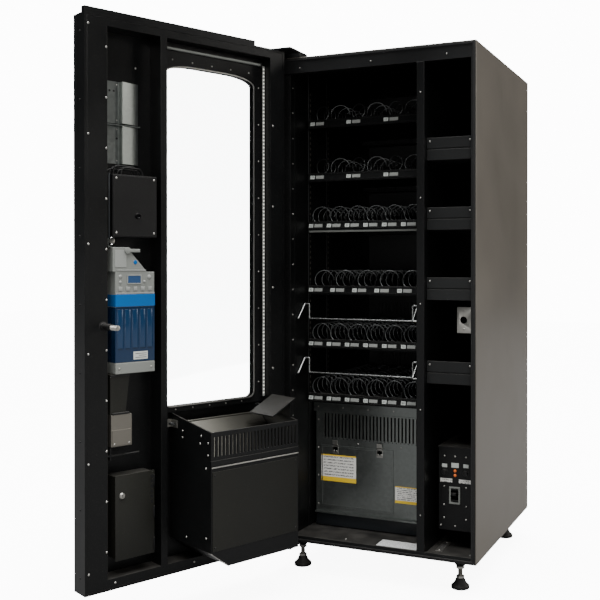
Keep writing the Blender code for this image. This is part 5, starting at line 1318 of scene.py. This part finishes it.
class VENDING_OT_money(DoorBuild, bpy.types.Operator):
    """Make the bill validator, coin mechanism, chute, cup and cash box"""

    bl_idname = "vending.money"
    bl_label = "Money equipment"

    def build(self, sizes):
        self.validator()
        self.mounting_plates(sizes)
        self.coin_mechanism()
        self.chute_and_cup()
        self.cash_box()

    def validator(self):
        """The note validator under its black lid."""
        eased("validator_cover", "black_plastic", 0.0015)
        box = self.extent("validator_cover")
        front = box.y1
        cover = slab((box.x0 + 0.003, front, box.z0 + 0.003), (box.x1 - 0.003, front + 0.0016,
                     box.z1 - 0.003), 0.0007)
        self.add("validator_lid", cover, "black_plastic")
        spots = [(x, front + 0.0016, z) for x in (box.x0 + 0.011, box.x1 - 0.011)
                 for z in (box.z1 - 0.011, box.z0 + 0.012)]
        self.fixings("validator_screws", spots, "+Y", 0.0034)
        knob = turned([(ON_AXIS, 0.0010), (0.0050, 0.0010), (0.0062, 0.0038), (0.0082, 0.0040),
                       (0.0095, 0.0)], (box.middle[0] - 0.008, front + 0.0016, box.z0 + 0.064),
                      "+Y", 32)
        self.add("validator_knob", knob, "gloss_black", smooth=ROUND)
        spin = rod("Z", (box.x1 + 0.007, front - 0.010, box.z0 - 0.003), 0.0032,
                   box.z1 - box.z0 + 0.006, segments=20, rounding=0.0006)
        self.add("validator_hinge_rod", spin, "pan_grey", smooth=ROUND)
        bracket = [slab((box.x1 + 0.001, front - 0.030, box.z0 - 0.030),
                        (box.x1 + 0.0125, front - 0.006, box.z0 - 0.027), 0.0006),
                   slab((box.x1 + 0.0110, front - 0.030, box.z0 - 0.030),
                        (box.x1 + 0.0125, front - 0.006, box.z0 - 0.004), 0.0006)]
        self.add("validator_bracket", merged(bracket), "zinc_sheet")

    def mounting_plates(self, sizes):
        """The bent zinc plates above the validator, and its leads."""
        floor = self.extent("validator_cover").y0
        plates = []
        for low, high in ((1.282, 1.398), (1.406, 1.534)):
            plates.append(slab((0.592, floor + 0.0002, low), (0.6575, floor + 0.0022, high),
                               0.0005))
            plates.append(extrusion([(0.530, floor + 0.0008), (0.590, floor + 0.0150),
                                     (0.590, floor + 0.0166), (0.530, floor + 0.0024)],
                                    "Z", low, high, 0.0004))
            plates.append(slab((0.5896, floor + 0.0002, low), (0.5912, floor + 0.0166, high),
                               0.0004))
        plates.append(slab((0.530, floor + 0.0002, 1.3985), (0.6575, floor + 0.0175, 1.4010),
                           0.0006))
        plates.append(slab((0.6575, floor + 0.0002, 1.282), (0.6592, floor + 0.0180, 1.534),
                           0.0005))
        self.add("mounting_plates", merged(plates), "zinc_sheet")
        spots = [(x, floor + 0.0022, z) for x in (0.602, 0.650)
                 for z in (1.292, 1.388, 1.416, 1.524)]
        self.fixings("mounting_plate_screws", spots, "+Y", sizes.screw * 0.6)
        # The holes in the plates are near-black discs: painted shade.
        holes = [rod("Y", (x, floor + 0.0019, z), 0.0035, 0.0005, segments=16)
                 for x, z in ((0.612, 1.505), (0.626, 1.505), (0.640, 1.505), (0.602, 1.36))]
        self.add("mounting_plate_hole_shade", merged(holes), "dark_mark")
        loom = []
        for index in range(5):
            x0, x1, rise = 0.648 - 0.010 * index, 0.560 - 0.006 * index, 0.020 + 0.006 * (index % 3)
            y = floor + 0.018 + 0.005 * index
            loom.append(bent_wire([(x0, y, 1.236), (x0 - 0.004, y, 1.244 + rise),
                                   (x1 + 0.004, y + 0.006, 1.246 + rise * 0.8),
                                   (x1, y + 0.008, 1.236)], 0.0019, 0.016, 8))
        self.add("validator_leads", merged(loom), "black_plastic", smooth=SCREW_ROUND)

    def coin_mechanism(self):
        """The coin mechanism: cassette, tubes, display, keys and head."""
        eased("coin_mech", "grey_plastic", 0.002)
        mech = self.extent("coin_mech")
        front = mech.y1
        x0, x1 = mech.x0, mech.x1 - 0.008
        skin = 0.0006
        self.add("coin_blue_panel", slab((x0 - skin, mech.y0 + 0.006, 0.847),
                                         (x1 + skin, front + 0.0030, 0.884), 0.0015), "blue")
        self.add("coin_cassette", slab((x0 - skin, mech.y0 + 0.006, 0.679),
                                       (x1 + skin, front + 0.0008, 0.8465), 0.0015), "dark_blue")
        tubes = [rod("Z", (x, front + 0.0002, 0.722), 0.0105, 0.117, segments=28, rounding=0.001)
                 for x in spaced(x0 + 0.016, x1 - 0.016, 5)]
        for tube in tubes:
            bmesh.ops.scale(tube, vec=(1, 0.32, 1), space=Matrix.Translation((0, -front, 0)),
                            verts=tube.verts)
        self.add("coin_tubes", merged(tubes), "tube_blue", smooth=ROUND)
        low = (x0 + 0.024, 0.686)
        high = (x0 + 0.072, 0.710)
        self.add("coin_label", slab((low[0], front + 0.0008, low[1]),
                                    (high[0], front + 0.0013, high[1]), 0.0001), "label_white")
        lines = [slab((low[0] + 0.004, front + 0.0013, z), (high[0] - 0.006 - 0.012 * (index % 2),
                      front + 0.0015, z + 0.0016)) for index, z in enumerate((0.691, 0.697, 0.703))]
        self.add("coin_label_lines", merged(lines), "dark_mark")
        self.add("coin_display", slab((x0 + 0.048, front + 0.0002, 0.918),
                                      (x0 + 0.090, front + 0.0016, 0.940), 0.001), "display")
        bezel = ring_frame(((x0 + 0.045, 0.915), (x0 + 0.093, 0.943)), 0.0028, front,
                           front + 0.0024, 0.0008)
        self.add("coin_display_bezel", bezel, "pale_plastic")
        keys = [slab((x - 0.0065, front, 0.8945), (x + 0.0065, front + 0.0022, 0.9075), 0.0020)
                for x in spaced(x0 + 0.016, x1 - 0.016, 5)]
        for x, z, radius in ((x0 + 0.018, 0.936, 0.007), (x0 + 0.034, 0.922, 0.0045),
                             (x1 - 0.016, 0.938, 0.006), (x1 - 0.016, 0.921, 0.005)):
            dome = turned([(ON_AXIS, 0.0030), (radius * 0.55, 0.0026), (radius * 0.9, 0.0012),
                           (radius, 0.0)], (x, front, z), "+Y")
            keys.append(dome)
        self.add("coin_keys", merged(keys), "pale_plastic", smooth=ROUND)
        head = [slab((x0 + 0.030, front, 0.955), (x1 - 0.004, front + 0.0018, 0.9585), 0.0008),
                slab((mech.x1 - 0.044, front, 0.966), (mech.x1 - 0.006, front + 0.0012, 1.018),
                     0.0006),
                slab((x0, front, 0.8855), (x1, front + 0.0015, 0.8895), 0.0006)]
        self.add("coin_head_covers", merged(head), "pale_plastic")
        eased("coin_return_lever", "grey_plastic", 0.001, smooth=ROUND)
        self.add("coin_head_button", turned([(ON_AXIS, 0.0022), (0.0050, 0.0018), (0.0066, 0.0)],
                                            (x0 + 0.065, front, 0.981), "+Y"), "blue", smooth=ROUND)
        eased("coin_return_button", "zinc_plate", 0.0008, smooth=ROUND)
        foot = slab((x0 - 0.0004, mech.y0 + 0.01, 0.6455), (x1 + 0.0004, front + 0.0015, 0.6775),
                    0.0015)
        self.add("coin_mech_foot", foot, "grey_plastic")
        spots = [(x, front + 0.0015, 0.661) for x in (x0 + 0.012, x1 - 0.012)]
        self.fixings("coin_mech_screws", spots, "+Y", 0.0034)

    def chute_and_cup(self):
        """The coin chute and the cup under it."""
        eased("coin_chute", "cover_grey", 0.001)
        eased("coin_cup", "bare_steel", 0.001)
        chute = self.extent("coin_chute")
        cup = self.extent("coin_cup")
        lips = [slab((chute.x0, chute.y1 - 0.003, chute.z1 - 0.008),
                     (chute.x1, chute.y1 + 0.0016, chute.z1 - 0.001), 0.0008),
                slab((cup.x0 + 0.008, cup.y1 - 0.012, cup.z1 + 0.0002),
                     (cup.x1 - 0.004, cup.y1 + 0.001, cup.z1 + 0.006), 0.0008)]
        self.add("chute_lips", merged(lips), "shelf_grey")
        lower = slab((cup.x0 + 0.003, cup.y1, cup.z0 + 0.003), (cup.x1 - 0.003, cup.y1 + 0.0018,
                     cup.z0 + 0.050), 0.0007)
        self.add("cup_front", lower, "bare_steel")
        spots = [(x, cup.y1 + 0.0018, cup.z0 + 0.008) for x in (cup.x0 + 0.010, cup.x1 - 0.010)]
        self.fixings("cup_screws", spots, "+Y", 0.003)
        bar = [rod("X", (cup.x0 - 0.035, cup.y1 - 0.020, cup.z0 - 0.030), 0.0030, 0.104,
                   segments=16, rounding=0.0005),
               slab((cup.x1 - 0.006, cup.y1 - 0.034, cup.z0 - 0.042),
                    (cup.x1 - 0.003, cup.y1 - 0.012, cup.z0 - 0.003), 0.0006)]
        self.add("cup_support", merged(bar), "shelf_grey", smooth=ROUND)

    def cash_box(self):
        """The cash box door with its holes, lock and hinge; its holes and keyway are near-black plates of painted
        shade.
        """
        eased("cash_box", "cover_grey")
        eased("cash_box_door", "cover_grey", 0.0012)
        lid = self.extent("cash_box_door")
        front = lid.y1
        # The six square holes are near-black plates flush with the door: painted shade.
        holes = [slab((lid.x0 + 0.005, front - 0.0004, z),
                      (lid.x0 + 0.014, front + 0.0003, z + 0.009), 0.0001)
                 for z in spaced(0.240, 0.318, 6)]
        self.add("cash_door_hole_shade", merged(holes), "painted_hole_shade", "cash_box_door")
        rings = [ring_frame(((lid.x0 + 0.0042, z - 0.0008), (lid.x0 + 0.0148, z + 0.0098)), 0.0008,
                            front, front + 0.0005) for z in spaced(0.240, 0.318, 6)]
        self.add("cash_door_hole_rims", merged(rings), "cover_grey", "cash_box_door")
        lock = turned([(ON_AXIS, 0.0052), (0.0070, 0.0050), (0.0080, 0.0042), (0.0095, 0.0020),
                       (0.0098, 0.0)], (0.618, front, 0.278), "+Y", 32)
        self.add("cash_lock", lock, "zinc_plate", "cash_box_door", smooth=ROUND)
        # The keyway is a near-black sliver on the lock: painted shade.
        key = slab((0.6172, front + 0.0050, 0.2735), (0.6188, front + 0.0056, 0.2825), 0.0001)
        self.add("cash_lock_slot_shade", key, "dark_mark", "cash_box_door")
        barrel = [rod("Z", (lid.x0 + 0.002, front - 0.0002, z), 0.0030, 0.036, segments=20,
                      rounding=0.0005) for z in spaced(lid.z0 + 0.012, lid.z1 - 0.050, 3)]
        self.add("cash_hinge_barrels", merged(barrel), "powder", "cash_box_door", smooth=ROUND)


class VENDING_OT_latch(DoorBuild, bpy.types.Operator):
    """Make the door handle, its threaded bolt and its collars"""

    bl_idname = "vending.latch"
    bl_label = "Handle and bolt"

    def build(self, sizes):
        eased("door_handle", "zinc_plate", 0.0012, smooth=ROUND)
        bolt = self.extent("door_handle")
        centre = DOOR.inverted() @ Vector(joint_named("door_handle_turn")["pos_m"])
        x, z = centre.x, centre.z
        ridge = bmesh.new()
        start = bolt.y1 - 0.036
        turns, pitch = 20, 0.0017
        loop = [ridge.verts.new((0.0068, start, 0)), ridge.verts.new((0.0079, start + 0.0005, 0)),
                ridge.verts.new((0.0068, start + 0.0010, 0))]
        edges = [ridge.edges.new((loop[a], loop[(a + 1) % 3])) for a in range(3)]
        bmesh.ops.spin(ridge, geom=loop + edges, cent=(0, 0, 0), axis=(0, 1, 0),
                       dvec=(0, pitch / 24, 0), angle=2 * math.pi * turns, steps=24 * turns,
                       use_duplicate=False)
        bmesh.ops.holes_fill(ridge, edges=[edge for edge in ridge.edges if edge.is_boundary])
        bmesh.ops.recalc_face_normals(ridge, faces=ridge.faces)
        bmesh.ops.translate(ridge, vec=(x, 0, z), verts=ridge.verts)
        self.add("bolt_thread", ridge, "bright_screw", "door_handle", smooth=40)
        back = self.extent("door_inner_frame").y1
        collar = lathe([(0.0086, 0.0), (0.0150, 0.0), (0.0150, 0.0016), (0.0125, 0.0024),
                        (0.0110, 0.0085), (0.0086, 0.0090), (0.0086, 0.0)], (x, back, z), "Y", 32)
        self.add("bolt_collar", collar, "black_plastic", smooth=ROUND)
        sleeve = lathe([(0.0071, 0.0), (0.0096, 0.0), (0.0102, 0.0012), (0.0102, 0.0400),
                        (0.0096, 0.0412), (0.0071, 0.0412), (0.0071, 0.0)],
                       (x, back + 0.0100, z), "Y", 32)
        self.add("bolt_sleeve", sleeve, "black_plastic", "door_handle", smooth=ROUND)
        front = bolt.y0
        cap = turned([(ON_AXIS, 0.0030), (0.0058, 0.0026), (0.0074, 0.0012), (0.0078, 0.0)],
                     (x, front, z), "-Y", 32)
        self.add("handle_lock", cap, "brass", "door_handle", smooth=ROUND)


class VENDING_OT_front(DoorBuild, bpy.types.Operator):
    """Make the customer's side of the door: window bezel, display, keypad and slots"""

    bl_idname = "vending.front"
    bl_label = "Door front"

    def build(self, sizes):
        eased("control_panel", "black_plastic", 0.001)
        panel = self.extent("control_panel")
        glass = self.extent("window_glass")
        skin = self.extent("door_shell").y0
        window = opening(glass)
        self.add("window_bezel", band(arched(window, 0.016), arched(window, -0.0020), skin - 0.004,
                                      skin - 0.0002, 0.0008), "black_plastic")
        face = panel.y0 + 0.003
        low, high = panel.z1 - 0.020 - 0.060, panel.z1 - 0.020
        screen = slab((panel.x0 + 0.0205, face - 0.0012, low + 0.0005),
                      (panel.x1 - 0.0205, face, high - 0.0005), 0.0006)
        self.add("sales_display", screen, "gloss_black")
        shown = digits("0.00", 0.024, Matrix.Translation((panel.middle[0], face - 0.0014,
                       (low + high) / 2)) @ FACING["-Y"])
        self.add("sales_digits", shown, "orange")
        pad_high = low - 0.020
        cell_x, cell_z = 0.031, 0.028
        keys, marks = [], []
        for index, mark in enumerate("123456789*0#"):
            x = panel.middle[0] + (index % 3 - 1) * cell_x
            z = pad_high - 0.016 - (index // 3) * cell_z
            keys.append(slab((x - 0.012, face - 0.0016, z - 0.0105), (x + 0.012, face, z + 0.0105),
                             0.001))
            if mark.isdigit():
                marks.append(digits(mark, 0.012, Matrix.Translation((x, face - 0.00165, z))
                                    @ FACING["-Y"]))
        self.add("keypad_keys", merged(keys), "grey_plastic")
        self.add("keypad_numbers", merged(marks), "dark_mark")
        bill = self.extent("validator_cover").middle[2]
        mouth = [ring_frame(((panel.middle[0] - 0.042, bill - 0.016), (panel.middle[0] + 0.042,
                            bill + 0.016)), 0.010, face - 0.0028, face, 0.001)]
        self.add("bill_mouth", merged(mouth), "gloss_black")
        lamps = [slab((x, face - 0.0032, bill - 0.0145), (x + 0.010, face - 0.0027, bill - 0.0125),
                      0.0002) for x in spaced(panel.middle[0] - 0.034, panel.middle[0] + 0.024, 4)]
        self.add("bill_lamps", merged(lamps), "diffuser")
        slot_z = panel.z0 + 0.028
        plate = slab((panel.middle[0] - 0.050, panel.y0 - 0.0016, slot_z - 0.014),
                     (panel.middle[0] - 0.018, panel.y0, slot_z + 0.014), 0.001)
        self.add("coin_slot_plate", plate, "zinc_plate")
        # The coin slot is a near-black plate in front of the panel: painted shade.
        cut = slab((panel.middle[0] - 0.0355, panel.y0 - 0.0020, slot_z - 0.010),
                   (panel.middle[0] - 0.0325, panel.y0 - 0.0015, slot_z + 0.010), 0.0002)
        self.add("coin_slot_shade", cut, "dark_mark")


# ---------------------------------------------------------------- stage


def soft_light(name, place, target, size, power, colour=(1, 1, 1)):
    """A large area light that faces a point."""
    lamp = bpy.data.lights.new(name, "AREA")
    lamp.shape = "DISK"
    lamp.size = size
    lamp.energy = power
    lamp.color = colour
    holder = bpy.data.objects.new(name, lamp)
    bpy.context.scene.collection.objects.link(holder)
    holder.location = place
    holder.rotation_euler = (Vector(target) - Vector(place)).to_track_quat("-Z", "Y").to_euler()


class VENDING_OT_stage(Build, bpy.types.Operator):
    """Make the pale floor, the soft lights and the camera"""

    bl_idname = "vending.stage"
    bl_label = "Studio stage"

    def build(self, sizes):
        floor = bmesh.new()
        bmesh.ops.create_grid(floor, x_segments=1, y_segments=1, size=14)
        mesh = bpy.data.meshes.new("studio_floor")
        floor.to_mesh(mesh)
        floor.free()
        ground = bpy.data.objects.new("studio_floor", mesh)
        bpy.context.scene.collection.objects.link(ground)
        mesh.materials.append(self.floor_paint())
        world = bpy.data.worlds.new("studio")
        bpy.context.scene.world = world
        world.use_nodes = True
        tree = world.node_tree
        seen = tree.nodes["Background"]
        seen.inputs["Color"].default_value = (1.0, 1.0, 1.0, 1)
        seen.inputs["Strength"].default_value = 13.0
        room = add(tree, "ShaderNodeBackground", {"Color": (0.90, 0.95, 1.0, 1), "Strength": 0.06})
        direct = self.seen_directly(tree)
        both = add(tree, "ShaderNodeMixShader", {0: direct})
        tree.links.new(room.outputs[0], both.inputs[1])
        tree.links.new(seen.outputs[0], both.inputs[2])
        tree.links.new(both.outputs[0], tree.nodes["World Output"].inputs["Surface"])
        middle = (0.0, 0.0, 0.9)
        sky = bpy.data.lights.new("overhead_light", "SUN")
        sky.energy = 12.5
        sky.angle = 1.2
        bpy.context.scene.collection.objects.link(bpy.data.objects.new("overhead_light", sky))
        soft_light("key_light", (2.8, -3.8, 3.2), middle, 1.8, 90, (1.0, 0.98, 0.95))
        soft_light("side_light", (4.6, 2.2, 2.2), (0.5, 0.4, 0.9), 2.4, 85, (1.0, 0.96, 0.90))
        soft_light("front_light", (1.2, -4.6, 1.0), (0.1, 0, 0.7), 1.2, 22)
        self.camera(sizes)

    def seen_directly(self, tree):
        """One for rays from the camera, also through glass, and zero once they have bounced."""
        ray = tree.nodes.new("ShaderNodeLightPath").outputs
        direct = maths(tree, "MAXIMUM", ray["Is Camera Ray"], ray["Is Transmission Ray"])
        bounces = maths(tree, "ADD", ray["Diffuse Depth"], ray["Glossy Depth"])
        return maths(tree, "MULTIPLY", direct, maths(tree, "LESS_THAN", bounces, 0.5))

    def floor_paint(self):
        """A floor that is bright to the camera and dim to everything else."""
        material, tree, shader = blank("studio_floor", Specular_IOR_Level=0.1)
        peel = use_group(tree, paint_grain_group, Scale=60.0)
        direct = self.seen_directly(tree)
        pale = mix(tree, peel["Cloud"], (0.82, 0.82, 0.82), (0.85, 0.85, 0.85))
        tree.links.new(mix(tree, direct, (0.14, 0.14, 0.14), pale), shader.inputs["Base Color"])
        tree.links.new(spread(tree, peel["Cloud"], 0, 1, 0.8, 0.9), shader.inputs["Roughness"])
        shader.inputs["Emission Color"].default_value = (1, 1, 1, 1)
        tree.links.new(maths(tree, "MULTIPLY", direct, 9.0), shader.inputs["Emission Strength"])
        return material

    def camera(self, sizes):
        """The camera, at eye height to the machine's front right."""
        lens = bpy.data.cameras.new("camera")
        lens.lens = sizes.camera_lens
        lens.sensor_width = 36
        lens.shift_x = -0.10
        lens.shift_y = -0.0537
        lens.clip_start = 0.05
        lens.clip_end = 60
        camera = bpy.data.objects.new("camera", lens)
        bpy.context.scene.collection.objects.link(camera)
        camera.location = CABINET @ Vector((1.521, -2.794, 0.975))
        yaw, pitch = -0.403, -0.004
        ahead = Vector((math.sin(yaw) * math.cos(pitch), math.cos(yaw) * math.cos(pitch),
                        math.sin(pitch)))
        camera.rotation_euler = ahead.to_track_quat("-Z", "Y").to_euler()
        bpy.context.scene.camera = camera


# ---------------------------------------------------------------- sidebar

OPERATORS = (
    VENDING_OT_case, VENDING_OT_feet, VENDING_OT_cooling, VENDING_OT_storage,
    VENDING_OT_trays, VENDING_OT_spirals, VENDING_OT_guards, VENDING_OT_door,
    VENDING_OT_window, VENDING_OT_bin, VENDING_OT_money, VENDING_OT_latch,
    VENDING_OT_front, VENDING_OT_stage,
)


class VENDING_PT_panel(bpy.types.Panel):
    """The machine's sizes, colours and builders"""

    bl_idname = "VENDING_PT_panel"
    bl_label = "Snack vending machine"
    bl_space_type = "VIEW_3D"
    bl_region_type = "UI"
    bl_category = "Vending"

    def draw(self, context):
        for group in (context.scene.vending_sizes, context.scene.vending_colours):
            for name in group.bl_rna.properties.keys():
                if name not in ("rna_type", "name"):
                    self.layout.prop(group, name)
        for operator in OPERATORS:
            self.layout.operator(operator.bl_idname)


CLASSES = (VendingSizes, VendingColours, *OPERATORS, VENDING_PT_panel)


def register():
    for made in CLASSES:
        bpy.utils.register_class(made)
    bpy.types.Scene.vending_sizes = PointerProperty(type=VendingSizes)
    bpy.types.Scene.vending_colours = PointerProperty(type=VendingColours)


def unregister():
    del bpy.types.Scene.vending_colours
    del bpy.types.Scene.vending_sizes
    for made in reversed(CLASSES):
        bpy.utils.unregister_class(made)


def main():
    register()
    for operator in OPERATORS:
        area, action = operator.bl_idname.split(".")
        getattr(getattr(bpy.ops, area), action)()


if __name__ == "__main__":
    main()
